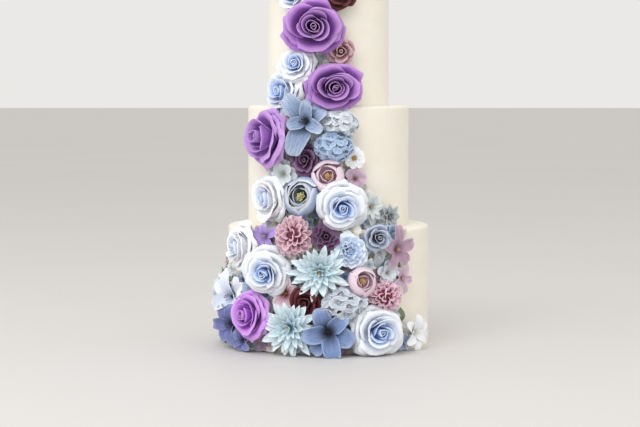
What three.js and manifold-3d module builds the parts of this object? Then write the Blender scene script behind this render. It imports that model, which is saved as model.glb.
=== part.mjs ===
// A three-tier wedding cake with a cascade of sugar flowers down its front.
//
// Millimetres, +Z up. The origin is where the cake's axis meets its flat underside, and the cascade faces
// -Y. Every tier, flower and leaf is one closed solid in a named mesh of its own. A flower is a lathed bloom
// whose rings are drawn out into petals, with a stem that reaches back to the icing it is stuck on. Where
// two flowers crowd each other, a plane between them parts them.

import * as THREE from "three";
import { mergeVertices } from "three/addons/utils/BufferGeometryUtils.js";
import Module from "manifold-3d";

const wasm = await Module();
wasm.setup();

// ---- Driving dimensions ----

const INCH = 25.4;
const TIER_HEIGHT = 150;
const TIER_EDGE = 4; // radius of the rounded top edge of the icing
const TIER_EDGE_STEPS = 2;
const TIER_SIDES = 40;
const TIERS = {
  bottom: { radius: 5 * INCH, base: 0 },
  middle: { radius: 4 * INCH, base: TIER_HEIGHT },
  top: { radius: 3 * INCH, base: 2 * TIER_HEIGHT },
};

const GAP = 0.3; // between neighbouring pieces
const TABLE_CLEARANCE = 0.5; // no petal reaches lower than this
const STEM_SHARE = 0.2; // a stem's radius as a share of its flower's radius
const WALL_MARGIN = 8; // a stem meets a tier's wall no nearer than this to the wall's ends
const PERCH_INSET = 18; // a flower that stands on a tier's flat top has its stem this far from the edge
const LONGEST_PETAL = 1.05; // as a share of the flower's radius
const PETAL_UNEVENNESS = 0.1; // the petals of one ring differ in length by up to this share
const CROWD_SHARE = 0.95; // flowers crowd each other where spheres of this share of their radii meet
const LEAST_SHARE = 0.45; // a crowded flower keeps at least this share of its radius on each side

const FLORETS_AROUND = 5; // of a cluster, round the one in its middle
const FLORET_ANGLE = 58; // between a cluster's middle floret and the others, in degrees
const FLORET_SHARE = 0.35; // a floret's radius as a share of its cluster's radius
const FLORET_DEPTH = 0.8; // how deep a floret's foot reaches, in floret radii
const FLORET_HEIGHT = 0.72; // of a floret over its cluster's middle, as a share of the cluster's radius

const LEAF_WIDTH_SHARE = 0.8;
const LEAF_THICKNESS = 1;
const LEAF_WAVE = 0.12; // height of a leaf's waves as a share of its length
const LEAF_CURVE_STEPS = 6;

const COLOURS = {
  ivory: "#f2ead6",
  ice: "#c9d9ee",
  violet: "#9a62b8",
  magenta: "#a044b4",
  dusk: "#8e5f66",
  plum: "#5f3d5e",
  wine: "#7c3540",
  slate: "#8296b4",
  sky: "#a9c3e4",
  white: "#e8ecec",
  cream: "#efe9dc",
  sage: "#cbd6cc",
  grey: "#97a0a0",
  mint: "#b5d3d6",
  blush: "#d3abb9",
  mauve: "#b28ba6",
  lilac: "#8f78ab",
  rosewood: "#b4697a",
};
const ICING_ROUGHNESS = 0.45;
const PETAL_ROUGHNESS = 0.7;

// ---- The kinds of bloom ----

// The rings run from the back of a flower to its middle. Their radius r and height z are shares of the
// flower's radius, with z = 0 near the plane of its outer petals. Between two of its petals a ring draws in
// by the share cut and sinks by dip. A high taper gives round petals and a low one pointed petals. phase
// turns a ring by a share of one petal. middle is the height of the flower's very middle.

const KINDS = {
  rose: {
    sides: 15,
    middle: 0.46,
    rings: [
      { r: 0.74, z: -0.18 },
      { r: 1, z: 0.06, petals: 5, cut: 0.12, phase: 0.5, taper: 3, dip: 0.06 },
      { r: 0.6, z: 0.1 },
      { r: 0.68, z: 0.4, petals: 5, cut: 0.12, taper: 2 },
      { r: 0.43, z: 0.27 },
      { r: 0.38, z: 0.54, petals: 3, cut: 0.16, taper: 2 },
    ],
  },
  smallRose: {
    sides: 12,
    middle: 0.5,
    rings: [
      { r: 0.7, z: -0.2 },
      { r: 1, z: 0.08, petals: 4, cut: 0.16, phase: 0.5, taper: 3, dip: 0.08 },
      { r: 0.52, z: 0.12 },
      { r: 0.58, z: 0.46, petals: 4, cut: 0.14, taper: 2 },
      { r: 0.3, z: 0.3 },
      { r: 0.2, z: 0.56 },
    ],
  },
  cup: {
    sides: 12,
    middle: 0.1,
    rings: [
      { r: 0.72, z: -0.3 },
      { r: 1, z: 0.14, petals: 4, cut: 0.1, phase: 0.5, taper: 2 },
      { r: 0.78, z: 0.1 },
      { r: 0.72, z: 0.34, petals: 4, cut: 0.14, taper: 2 },
      { r: 0.34, z: -0.1 },
      { r: 0.22, z: 0.08 },
    ],
  },
  pompom: {
    sides: 14,
    middle: 0.84,
    rings: [
      { r: 0.66, z: -0.34 },
      { r: 0.98, z: -0.02, petals: 7, cut: 0.14, taper: 1 },
      { r: 0.95, z: 0.3, petals: 7, cut: 0.16, phase: 0.5, taper: 1 },
      { r: 0.78, z: 0.56, petals: 7, cut: 0.2, taper: 1 },
      { r: 0.52, z: 0.72, petals: 7, cut: 0.26, phase: 0.5, taper: 1 },
      { r: 0.24, z: 0.84, petals: 7, cut: 0.3, taper: 1 },
    ],
  },
  ruffle: {
    sides: 14,
    middle: 0.44,
    rings: [
      { r: 0.64, z: -0.28 },
      { r: 1, z: 0.02, petals: 7, cut: 0.12, taper: 1, dip: 0.12 },
      { r: 0.72, z: 0.14 },
      { r: 0.76, z: 0.36, petals: 7, cut: 0.16, phase: 0.5, taper: 1, dip: 0.1 },
      { r: 0.4, z: 0.34, petals: 7, cut: 0.2, taper: 1, dip: 0.1 },
    ],
  },
  dahlia: {
    sides: 24,
    middle: 0.16,
    rings: [
      { r: 0.34, z: -0.2 },
      { r: 1, z: 0.02, petals: 12, cut: 0.42, taper: 1, dip: 0.06 },
      { r: 0.5, z: 0.06 },
      { r: 0.8, z: 0.22, petals: 12, cut: 0.42, phase: 0.5, taper: 1, dip: 0.06 },
      { r: 0.4, z: 0.36, petals: 12, cut: 0.4, taper: 1 },
    ],
  },
  rosette: {
    sides: 16,
    middle: 0.2,
    rings: [
      { r: 0.4, z: -0.26 },
      { r: 1, z: 0, petals: 8, cut: 0.3, taper: 1, dip: 0.06 },
      { r: 0.46, z: 0.06 },
      { r: 0.66, z: 0.32, petals: 8, cut: 0.34, phase: 0.5, taper: 1 },
    ],
  },
  lily: {
    sides: 24,
    middle: -0.22,
    rings: [
      { r: 0.18, z: -0.44 },
      { r: 1, z: 0.1, petals: 6, cut: 0.6, taper: 3.4, dip: 0.24 },
      { r: 0.5, z: 0.04, petals: 6, cut: 0.36, taper: 2.6, dip: 0.12 },
    ],
  },
  blossom: {
    sides: 15,
    middle: 0.12,
    rings: [
      { r: 0.26, z: -0.24 },
      { r: 1, z: 0.1, petals: 5, cut: 0.5, taper: 3, dip: 0.12 },
      { r: 0.2, z: 0.02 },
    ],
  },
  daisy: {
    sides: 21,
    middle: 0.2,
    rings: [
      { r: 0.3, z: -0.24 },
      { r: 1, z: 0.04, petals: 7, cut: 0.42, taper: 3, dip: 0.06 },
      { r: 0.24, z: 0.06 },
    ],
  },
  cluster: {
    sides: 9,
    middle: 0.56,
    rings: [
      { r: 0.7, z: -0.24 },
      { r: 0.68, z: 0.24 },
    ],
  },
  floret: {
    sides: 8,
    stemless: true,
    middle: 0.02,
    rings: [{ r: 1, z: 0.14, petals: 4, cut: 0.44, taper: 1 }],
  },
};

// ---- The flowers of the cascade, from the top of each tier down ----

// az turns round the cake from the front towards +X and z is the height of a flower's middle. size is the
// radius of its outer petals, and lift how far their plane stands off the tier's wall. yaw and tilt turn its
// face from straight out, to +X and up. wide stretches it sideways. Angles are in degrees. A flower that is
// higher than its tier stands on the tier's flat top.

const FLOWER_FIELDS = ["name", "kind", "colour", "az", "z", "size", "lift", "yaw", "tilt", "wide"];
const FLOWERS = {
  top: [
    ["rose_violet_crown", "rose", "violet", -12, 468, 34, -6, 0, 38, 1.1],
    ["hydrangea_sky_crown", "cluster", "sky", -50, 456, 21, -6, 0, 40, 1],
    ["hydrangea_white_crown", "cluster", "white", 30, 457, 19, -6, 0, 40, 1],
    ["rose_ice_crown", "rose", "ice", -27, 433, 21.5, 15, 5, 10, 1],
    ["rose_dusk_crown", "smallRose", "dusk", 9, 436, 21, 14, 0, 0, 1],
    ["rose_violet_upper", "rose", "violet", -10, 396, 36, 24, 8, 0, 1.1],
    ["rose_dusk_upper", "smallRose", "dusk", 10, 367, 18.5, 14, -12, -4, 1],
    ["rose_ice_upper", "rose", "ice", -24, 350, 24, 20, 6, 15, 1],
    ["rose_violet_middle", "rose", "violet", 4, 322, 34.5, 26, 2, 0, 1.15],
    ["rose_ice_turned", "rose", "ice", -35, 317, 29.5, 20, -6, 8, 0.95],
  ],
  middle: [
    ["lily_slate_upper", "lily", "slate", -13, 282, 36, 24, -4, 4, 1],
    ["rose_violet_left", "rose", "violet", -37, 262, 38, 22, -18, 4, 0.95],
    ["hydrangea_white_upper", "cluster", "white", 7, 278, 20, 12, 0, 0, 1.05],
    ["hydrangea_sky_upper", "cluster", "sky", 3, 251, 21, 14, 0, 0, 1.12],
    ["daisy_white", "daisy", "white", 16, 237, 14, 12, 0, 0, 1],
    ["cosmos_mauve_upper", "blossom", "mauve", 17, 212, 14, 10, 0, 0, 1],
    ["rose_plum_upper", "smallRose", "plum", -14, 234, 19.5, 14, 0, 6, 0.9],
    ["peony_blush_upper", "cup", "blush", 0, 215, 21, 20, -12, 18, 1],
    ["gardenia_sage", "blossom", "sage", -29, 217, 20, 12, 10, 0, 1],
    ["rose_ice_midleft", "rose", "ice", -37, 187, 29, 18, -14, 0, 0.95],
    ["anemone_slate", "cup", "slate", -15, 190, 24.5, 24, -5, 18, 0.95],
    ["rose_ice_center", "rose", "ice", 7, 179, 32, 30, 2, -8, 1.03],
    ["cosmos_sage", "blossom", "sage", 27, 177, 18.5, 12, 0, 0, 0.9],
    ["cosmos_grey", "blossom", "grey", 42, 164, 16.5, 10, 0, 0, 1],
  ],
  bottom: [
    ["cosmos_violet", "blossom", "lilac", -35, 142, 19, 8, 0, 0, 1],
    ["mum_rose_left", "pompom", "rosewood", -17, 144, 23.5, 16, 0, 0, 0.94],
    ["dahlia_plum", "rosette", "plum", -1, 145, 19, 16, 0, 0, 1],
    ["blossom_cream", "blossom", "cream", 12, 149, 11, 10, 0, 0, 1],
    ["rose_slate_small", "smallRose", "slate", 24, 142, 17.5, 18, 0, 0, 1.06],
    ["carnation_sky", "ruffle", "sky", 10, 127, 21, 16, 0, 0, 1],
    ["rose_ice_farleft", "rose", "ice", -50, 127, 30.5, 12, -12, 0, 0.95],
    ["cosmos_mauve_right", "blossom", "mauve", 38, 126, 25.5, 10, 4, 0, 1],
    ["leaf_sage", "leaf", "sage", 27, 113, 10, 6, 0, 0, 1],
    ["blossom_white_middle", "blossom", "white", -20, 118, 10, 12, 0, 0, 1],
    ["dahlia_mint_upper", "dahlia", "mint", -4, 102, 33, 22, 0, 0, 1.06],
    ["rose_ice_lowleft", "rose", "ice", -30, 100, 30.5, 24, 14, -6, 1],
    ["blossom_white_right", "blossom", "white", 32, 98, 15, 8, 0, 0, 1],
    ["peony_blush_lower", "cup", "blush", 16, 90, 20, 20, 8, 12, 1],
    ["cosmos_pale_right", "blossom", "mauve", 42, 90, 16.5, 8, 6, 0, 1],
    ["cosmos_wine", "blossom", "wine", -22, 74, 20, 12, 0, 0, 1],
    ["blossom_lavender", "blossom", "lilac", -44, 76, 13, 12, 0, 0, 1],
    ["blossom_white_left", "blossom", "white", -53, 76, 13, 14, 12, 0, 1],
    ["mum_rose_right", "pompom", "rosewood", 28, 70, 21, 16, 0, 0, 1.04],
    ["rose_wine", "smallRose", "wine", -11, 64, 21.5, 18, 0, 0, 0.92],
    ["lily_slate_left_high", "lily", "slate", -60, 64, 30, 16, 14, 0, 1],
    ["hydrangea_white_lower", "cluster", "white", 7, 62, 24.5, 16, 0, 0, 1.14],
    ["rose_magenta", "rose", "magenta", -39, 47, 30, 24, -4, 6, 0.96],
    ["dahlia_mint_lower", "dahlia", "mint", -18, 34, 34, 24, 0, 0, 0.98],
    ["lily_slate_left_low", "lily", "slate", -58, 30, 27, 18, 10, 0, 1],
    ["lily_slate_lower", "lily", "slate", 0, 30, 35, 28, 0, 0, 1],
    ["rose_ice_lower", "rose", "ice", 23, 29, 35, 26, 0, 0, 1.06],
    ["lily_white_foot", "lily", "white", 50, 22, 22, 15, 0, 0, 1],
    ["lily_slate_foot", "lily", "slate", -46, 14, 17, 20, 0, 0, 1],
    ["rose_ice_side", "rose", "ice", -98, 66, 23, 10, 0, 0, 1],
    ["cosmos_mauve_side", "blossom", "mauve", -112, 92, 18, 8, 0, 0, 1],
    ["blossom_white_side", "blossom", "white", -81, 52, 14, 10, 0, 0, 1],
    ["cosmos_lilac_side", "blossom", "lilac", -86, 24, 18, 10, 0, 0, 1],
  ],
};

// The petals of the lilies that open unevenly: each one's direction in degrees anticlockwise from straight
// down, and its length as a share of the flower's radius.

const SPREADS = {
  lily_slate_upper: [[63, 0.75], [121, 0.92], [172, 0.7], [220, 1.05], [285, 0.64], [338, 1.25]],
  lily_slate_lower: [[11, 1.06], [72, 1.03], [133, 0.86], [205, 1], [280, 0.94], [325, 0.86]],
};

// ---- Solids ----

/** A seeded source of numbers from 0 to 1. */
function seededRandom(seed) {
  let state = seed;
  return () => {
    state = (Math.imul(state, 1664525) + 1013904223) >>> 0;
    return state / 2 ** 32;
  };
}

/** A closed geometry as a solid that can be joined and cut. */
function solidOf(geometry) {
  const bare = geometry.clone();
  bare.deleteAttribute("normal");
  bare.deleteAttribute("uv");
  const merged = mergeVertices(bare);
  return new wasm.Manifold(
    new wasm.Mesh({
      numProp: 3,
      vertProperties: merged.attributes.position.array,
      triVerts: new Uint32Array(merged.index.array),
    }),
  );
}

/** A solid's surface as a geometry with flat-shaded faces. */
function geometryOf(solid) {
  const { vertProperties, triVerts } = solid.getMesh();
  const indexed = new THREE.BufferGeometry();
  indexed.setAttribute("position", new THREE.BufferAttribute(vertProperties, 3));
  indexed.setIndex(new THREE.BufferAttribute(triVerts, 1));
  const geometry = indexed.toNonIndexed();
  geometry.computeVertexNormals();
  return geometry;
}

/** The largest of a solid's separate bodies. */
function largestBody(solid) {
  return solid.decompose().reduce((best, body) => (body.volume() > best.volume() ? body : best));
}

// ---- Tiers ----

/** A cylinder on the cake's axis whose top edge is rounded, grown outwards by a margin. */
function tierGeometry({ radius, base }, margin) {
  const top = base + TIER_HEIGHT + margin;
  const foot = base === 0 ? base : base + GAP;
  const wall = radius + margin;
  const profile = [new THREE.Vector2(0, foot - margin), new THREE.Vector2(wall, foot - margin)];
  for (let step = 0; step <= TIER_EDGE_STEPS; step++) {
    const turn = (step / TIER_EDGE_STEPS) * (Math.PI / 2);
    const out = wall - TIER_EDGE + TIER_EDGE * Math.cos(turn);
    profile.push(new THREE.Vector2(out, top - TIER_EDGE + TIER_EDGE * Math.sin(turn)));
  }
  profile.push(new THREE.Vector2(0, top));
  return new THREE.LatheGeometry(profile, TIER_SIDES).rotateX(Math.PI / 2);
}

// ---- Blooms ----

/** How far a ring reaches and sinks at a turn of the flower, as shares of its own radius. */
function petalShape(ring, growth, turn) {
  if (!ring.petals) return { reach: 1, sink: 0 };
  const place = turn * ring.petals + (ring.phase ?? 0);
  const petal = Math.round(place);
  const away = Math.abs(2 * (place - petal)) ** ring.taper;
  const reach = growth[petal % ring.petals] * (1 - ring.cut * away);
  return { reach, sink: (ring.dip ?? 0) * away };
}

/** The angle of a turn of a flower whose petals stand unevenly, between the petals on both sides of it. */
function spreadAngle(spread, turn) {
  const place = turn * spread.length;
  const petal = Math.floor(place);
  const [from] = spread[petal];
  const [to] = spread[(petal + 1) % spread.length];
  return THREE.MathUtils.degToRad(from + (place - petal) * ((to - from + 360) % 360));
}

/** A bloom of one kind, facing +Z, whose stem ends flat on the XY plane of the frame foot. */
function bloomGeometry(kind, size, wide, foot, random, spread) {
  const stem = kind.stemless ? [] : [{ r: STEM_SHARE, foot: true }];
  const rings = [{ r: 0, foot: true }, ...stem, ...kind.rings, { r: 0, z: kind.middle }];
  const growths = rings.map((ring) =>
    Array.from({ length: ring.petals ?? 0 }, (_, petal) =>
      spread ? spread[petal][1] : LONGEST_PETAL - PETAL_UNEVENNESS * random(),
    ),
  );
  const profile = rings.map((ring, level) => new THREE.Vector2(ring.r, level));
  const geometry = new THREE.LatheGeometry(profile, kind.sides);
  const position = geometry.attributes.position;
  const starting = random();
  const point = new THREE.Vector3();
  for (let column = 0; column <= kind.sides; column++) {
    const turn = (column % kind.sides) / kind.sides;
    const angle = spread ? spreadAngle(spread, turn) : 2 * Math.PI * (turn + starting);
    rings.forEach((ring, level) => {
      const { reach, sink } = petalShape(ring, growths[level], turn);
      const out = size * ring.r * reach;
      const x = out * Math.sin(angle) * wide;
      const y = (-out * Math.cos(angle)) / wide;
      if (ring.foot) point.set(x, y, 0).applyMatrix4(foot);
      else point.set(x, y, size * (ring.z - sink));
      position.setXYZ(column * rings.length + level, point.x, point.y, point.z);
    });
  }
  return geometry;
}

/** A heap of small four-petalled florets on one round core. */
function clusterSolid(flower, foot, random) {
  const { size, wide } = flower;
  const core = solidOf(bloomGeometry(KINDS.cluster, size, wide, foot, random));
  const middle = new THREE.Object3D();
  const florets = [];
  for (let index = 0; index <= FLORETS_AROUND; index++) {
    const tip = index === 0 ? 0 : THREE.MathUtils.degToRad(FLORET_ANGLE);
    const swing = (2 * Math.PI * index) / FLORETS_AROUND;
    middle.rotation.set(0, 0, swing);
    middle.rotateX(tip);
    middle.updateMatrix();
    const radius = FLORET_SHARE * size;
    const floretFoot = new THREE.Matrix4().makeTranslation(0, 0, -FLORET_DEPTH * radius);
    const floret = bloomGeometry(KINDS.floret, radius, 1, floretFoot, random);
    floret.translate(0, 0, FLORET_HEIGHT * size).applyMatrix4(middle.matrix).scale(wide, 1 / wide, 1);
    florets.push(solidOf(floret));
  }
  return florets.reduce((heap, floret) => heap.add(floret), core);
}

/** A thin wavy leaf that grows from the frame foot past the flower's middle. */
function leafGeometry({ size }, foot) {
  const length = 2 * size;
  const half = (LEAF_WIDTH_SHARE * length) / 2;
  const outline = new THREE.Shape();
  outline.moveTo(0, 0);
  outline.quadraticCurveTo(half * 2, length / 2, 0, length);
  outline.quadraticCurveTo(-half * 2, length / 2, 0, 0);
  const leaf = new THREE.ExtrudeGeometry(outline, {
    depth: LEAF_THICKNESS,
    bevelEnabled: false,
    curveSegments: LEAF_CURVE_STEPS,
  });
  const position = leaf.attributes.position;
  for (let i = 0; i < position.count; i++) {
    const along = position.getY(i) / length;
    const wave = LEAF_WAVE * length * Math.sin(2 * Math.PI * along);
    position.setZ(i, position.getZ(i) + wave);
  }
  const root = new THREE.Vector3().setFromMatrixPosition(foot);
  const rise = new THREE.Vector3(0, size, 0).sub(root);
  const turn = new THREE.Quaternion().setFromUnitVectors(new THREE.Vector3(0, 1, 0), rise.normalize());
  return leaf.applyQuaternion(turn).translate(root.x, root.y, root.z);
}

// ---- Places on the cake ----

/** The point at an angle round the cake, a distance out from its axis and a height. */
function onCake(az, out, z) {
  const angle = THREE.MathUtils.degToRad(az);
  return new THREE.Vector3(out * Math.sin(angle), -out * Math.cos(angle), z);
}

/** The frame of a flower: its middle at the origin, its face to +Z and its upper side to +Y. */
function poseOf(flower, tier) {
  const upright = THREE.MathUtils.degToRad(flower.tilt);
  const right = onCake(flower.az + flower.yaw + 90, 1, 0);
  const forward = onCake(flower.az + flower.yaw, Math.cos(upright), Math.sin(upright));
  const up = new THREE.Vector3().crossVectors(forward, right);
  const middle = onCake(flower.az, tier.radius + flower.lift, flower.z);
  return new THREE.Matrix4().makeBasis(right, up, forward).setPosition(middle);
}

/** The frame of a stem's foot, flat against the icing with +Z out of it. */
function footOf(flower, tier) {
  const top = tier.base + TIER_HEIGHT;
  const right = onCake(flower.az + 90, 1, 0);
  if (flower.z > top) {
    const middle = onCake(flower.az, tier.radius - PERCH_INSET, top + GAP);
    const up = onCake(flower.az, -1, 0);
    return new THREE.Matrix4().makeBasis(right, up, new THREE.Vector3(0, 0, 1)).setPosition(middle);
  }
  const z = THREE.MathUtils.clamp(flower.z, tier.base + WALL_MARGIN, top - WALL_MARGIN);
  const middle = onCake(flower.az, tier.radius + GAP, z);
  const out = onCake(flower.az, 1, 0);
  return new THREE.Matrix4().makeBasis(right, new THREE.Vector3(0, 0, 1), out).setPosition(middle);
}

/** A flower's own solid at its place on the cake, before its neighbours part it. */
function grownSolid(flower, tier, seed) {
  const random = seededRandom(seed);
  const foot = footOf(flower, tier).premultiply(flower.pose.clone().invert());
  let solid;
  if (flower.kind === "leaf") solid = solidOf(leafGeometry(flower, foot));
  else if (flower.kind === "cluster") solid = clusterSolid(flower, foot, random);
  else {
    const kind = KINDS[flower.kind];
    solid = solidOf(bloomGeometry(kind, flower.size, flower.wide, foot, random, SPREADS[flower.name]));
  }
  return solidOf(geometryOf(solid).applyMatrix4(flower.pose));
}

/** What is left of a flower on its own side of the plane that parts it from a neighbour. */
function parted(solid, flower, neighbour) {
  const middle = new THREE.Vector3().setFromMatrixPosition(flower.pose);
  const other = new THREE.Vector3().setFromMatrixPosition(neighbour.pose);
  const apart = middle.distanceTo(other);
  if (apart > CROWD_SHARE * (flower.size + neighbour.size)) return solid;
  const even = (apart ** 2 + flower.size ** 2 - neighbour.size ** 2) / (2 * apart);
  const least = LEAST_SHARE * flower.size;
  const most = apart - LEAST_SHARE * neighbour.size;
  const proportional = (apart * flower.size) / (flower.size + neighbour.size);
  const reach = least < most ? THREE.MathUtils.clamp(even, least, most) : proportional;
  const inward = middle.clone().sub(other).normalize();
  return solid.trimByPlane(inward.toArray(), inward.dot(middle) - reach + GAP / 2);
}

// ---- The cake ----

/** The finish of a piece of sugar work. */
function finish(colour, roughness) {
  return new THREE.MeshStandardMaterial({ color: new THREE.Color(colour), roughness, metalness: 0 });
}

const cake = new THREE.Group();
const icing = Object.entries(TIERS).map(([name, tier]) => {
  const mesh = new THREE.Mesh(tierGeometry(tier, 0), finish(COLOURS.ivory, ICING_ROUGHNESS));
  mesh.name = `tier_${name}`;
  cake.add(mesh);
  return solidOf(tierGeometry(tier, GAP));
});

const cascade = new THREE.Group();
cake.add(cascade);
const flowers = Object.entries(FLOWERS).flatMap(([tierName, rows]) =>
  rows.map((row) => {
    const flower = Object.fromEntries(FLOWER_FIELDS.map((field, i) => [field, row[i]]));
    flower.tier = TIERS[tierName];
    flower.pose = poseOf(flower, flower.tier);
    return flower;
  }),
);
flowers.forEach((flower, index) => {
  let solid = grownSolid(flower, flower.tier, index + 1);
  solid = icing.reduce((left, tier) => left.subtract(tier), solid);
  for (const neighbour of flowers) {
    if (neighbour !== flower) solid = parted(solid, flower, neighbour);
  }
  solid = largestBody(solid.trimByPlane([0, 0, 1], TABLE_CLEARANCE));
  const geometry = geometryOf(solid).applyMatrix4(flower.pose.clone().invert());
  const mesh = new THREE.Mesh(geometry, finish(COLOURS[flower.colour], PETAL_ROUGHNESS));
  mesh.name = flower.name;
  mesh.applyMatrix4(flower.pose);
  cascade.add(mesh);
});

export default cake;
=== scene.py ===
"""Dresses a three-tier wedding cake and its cascade of sugar flowers.

The tiers are smooth ivory icing. Every flower is built petal by petal: a flat blank is bent into each petal,
the petals are joined and given the thickness of rolled sugar paste, and a cone of paste backs them.
Lengths in the tables are millimetres, angles are degrees, and shares are shares of a flower's radius.
"""

import logging
import math
from dataclasses import dataclass, field, replace
from enum import Enum
from typing import Iterable, Sequence

import bpy
import numpy as np
from mathutils import Matrix, Vector


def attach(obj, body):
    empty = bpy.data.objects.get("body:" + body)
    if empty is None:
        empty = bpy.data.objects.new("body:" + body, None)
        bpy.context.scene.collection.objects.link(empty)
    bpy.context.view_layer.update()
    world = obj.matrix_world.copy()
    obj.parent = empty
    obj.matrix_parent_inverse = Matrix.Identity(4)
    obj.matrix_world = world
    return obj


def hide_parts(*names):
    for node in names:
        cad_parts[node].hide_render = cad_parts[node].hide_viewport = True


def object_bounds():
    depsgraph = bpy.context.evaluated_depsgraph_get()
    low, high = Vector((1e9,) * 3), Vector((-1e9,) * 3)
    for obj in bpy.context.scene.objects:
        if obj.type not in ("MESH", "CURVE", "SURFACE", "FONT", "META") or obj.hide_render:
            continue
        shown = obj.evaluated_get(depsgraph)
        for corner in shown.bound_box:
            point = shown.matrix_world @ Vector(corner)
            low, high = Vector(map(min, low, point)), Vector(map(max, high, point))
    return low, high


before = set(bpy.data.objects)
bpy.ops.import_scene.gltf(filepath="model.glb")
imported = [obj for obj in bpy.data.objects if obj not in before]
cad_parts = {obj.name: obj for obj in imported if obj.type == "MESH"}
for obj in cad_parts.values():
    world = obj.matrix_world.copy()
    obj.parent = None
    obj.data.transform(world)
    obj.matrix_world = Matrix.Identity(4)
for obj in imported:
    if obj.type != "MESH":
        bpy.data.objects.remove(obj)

LOG = logging.getLogger("cake")
MM = 0.001
BODY = "root"
CAD_BOX = [list(corner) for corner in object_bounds()]

Array = np.ndarray
Draw = np.random.Generator
Piece = bpy.types.Object
Socket = bpy.types.NodeSocket


# ---- Small tools ----


def linear(hex_colour: str) -> tuple[float, float, float, float]:
    """Turns an sRGB hex colour such as "#f2ead6" into linear RGBA."""
    shares = [int(hex_colour[i : i + 2], 16) / 255 for i in (1, 3, 5)]
    parts = [s / 12.92 if s <= 0.04045 else ((s + 0.055) / 1.055) ** 2.4 for s in shares]
    return (parts[0], parts[1], parts[2], 1.0)


def smooth(low: float, high: float, value: Array) -> Array:
    """Rises smoothly from 0 at low to 1 at high."""
    share = np.clip((value - low) / (high - low), 0, 1)
    return share * share * (3 - 2 * share)


def deselect_all() -> None:
    """Leaves no object selected or active."""
    bpy.ops.object.select_all(action="DESELECT")
    bpy.context.view_layer.objects.active = None


def linked(name: str, data: bpy.types.ID) -> Piece:
    """A new object in the scene for a mesh, a camera or a light."""
    piece = bpy.data.objects.new(name, data)
    bpy.context.scene.collection.objects.link(piece)
    return piece


def make_active(piece: Piece) -> None:
    """Selects one object alone and makes it the active one."""
    deselect_all()
    piece.select_set(True)
    bpy.context.view_layer.objects.active = piece


def apply_modifier(piece: Piece, kind: str, **settings: object) -> None:
    """Adds a modifier to an object and applies it.

    Args:
        piece: The object to finish.
        kind: The modifier's type, such as "SOLIDIFY".
        **settings: The modifier's own settings.
    """
    make_active(piece)
    modifier = piece.modifiers.new(kind.title(), kind)
    for name, value in settings.items():
        setattr(modifier, name, value)
    bpy.ops.object.modifier_apply(modifier=modifier.name)


def points_of(piece: Piece) -> Array:
    """An object's vertices as an array of rows."""
    flat = np.empty(len(piece.data.vertices) * 3, np.float32)
    piece.data.vertices.foreach_get("co", flat)
    return flat.reshape(-1, 3).astype(float)


def set_points(piece: Piece, points: Array) -> None:
    """Moves an object's vertices to the rows of an array."""
    piece.data.vertices.foreach_set("co", points.astype(np.float32).ravel())
    piece.data.update()


def joined(parts: Sequence[Piece], name: str) -> Piece:
    """Joins objects, at least one, into the first of them and gives it a name."""
    deselect_all()
    for part in parts:
        part.select_set(True)
    bpy.context.view_layer.objects.active = parts[0]
    if len(parts) > 1:
        bpy.ops.object.join()
    parts[0].name = name
    parts[0].data.name = name
    return parts[0]


# ---- Finishes ----

PETAL_VALUES = ("whorl", "along", "tone")  # what every vertex of a petal carries

class Graph:
    """A material's nodes, added one at a time."""

    def __init__(self, name: str) -> None:
        """Starts a named material with one Principled BSDF."""
        self.material = bpy.data.materials.new(name)
        self.material.use_nodes = True
        self.tree = self.material.node_tree
        self.shader = self.tree.nodes["Principled BSDF"]

    def add(self, kind: str, inputs: dict | None = None, **settings: object) -> bpy.types.Node:
        """Adds a node with its settings and links.

        Args:
            kind: The node's class name without "ShaderNode".
            inputs: Socket name or index to a value, or to an output socket to link.
            **settings: The node's own settings.

        Returns:
            The new node.
        """
        node = self.tree.nodes.new("ShaderNode" + kind)
        for key, value in settings.items():
            setattr(node, key, value)
        self.feed(node, inputs or {})
        return node

    def feed(self, node: bpy.types.Node, inputs: dict) -> None:
        """Sets a node's inputs, and links those whose value is a socket."""
        for key, value in inputs.items():
            if isinstance(value, Socket):
                self.tree.links.new(value, node.inputs[key])
            else:
                node.inputs[key].default_value = value

    def noise(self, place: Socket, scale: float, detail: float, roughness: float = 0.5) -> Socket:
        """A noise over a place."""
        inputs = {"Vector": place, "Scale": scale, "Detail": detail, "Roughness": roughness}
        return self.add("TexNoise", inputs).outputs[0]

    def bump(self, height: Socket, strength: float, distance: float, under: Socket | None = None) -> Socket:
        """A bump's normal, over another bump's if one is given."""
        inputs = {"Height": height, "Strength": strength, "Distance": distance}
        if under is not None:
            inputs["Normal"] = under
        return self.add("Bump", inputs).outputs[0]

    def blend(self, share: object, low: object, high: object, mode: str = "MIX") -> Socket:
        """Mixes a share of the second colour into the first."""
        node = self.add("Mix", {"Factor": share}, data_type="RGBA", blend_type=mode)
        self.feed(node, {6: low, 7: high})
        return node.outputs[2]

    def band(self, value: Socket, low: float, high: float, start: float = 0.0, end: float = 1.0) -> Socket:
        """Maps a value smoothly from low and high to start and end."""
        inputs = {0: value, 1: low, 2: high, 3: start, 4: end}
        return self.add("MapRange", inputs, interpolation_type="SMOOTHSTEP").outputs[0]


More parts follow.
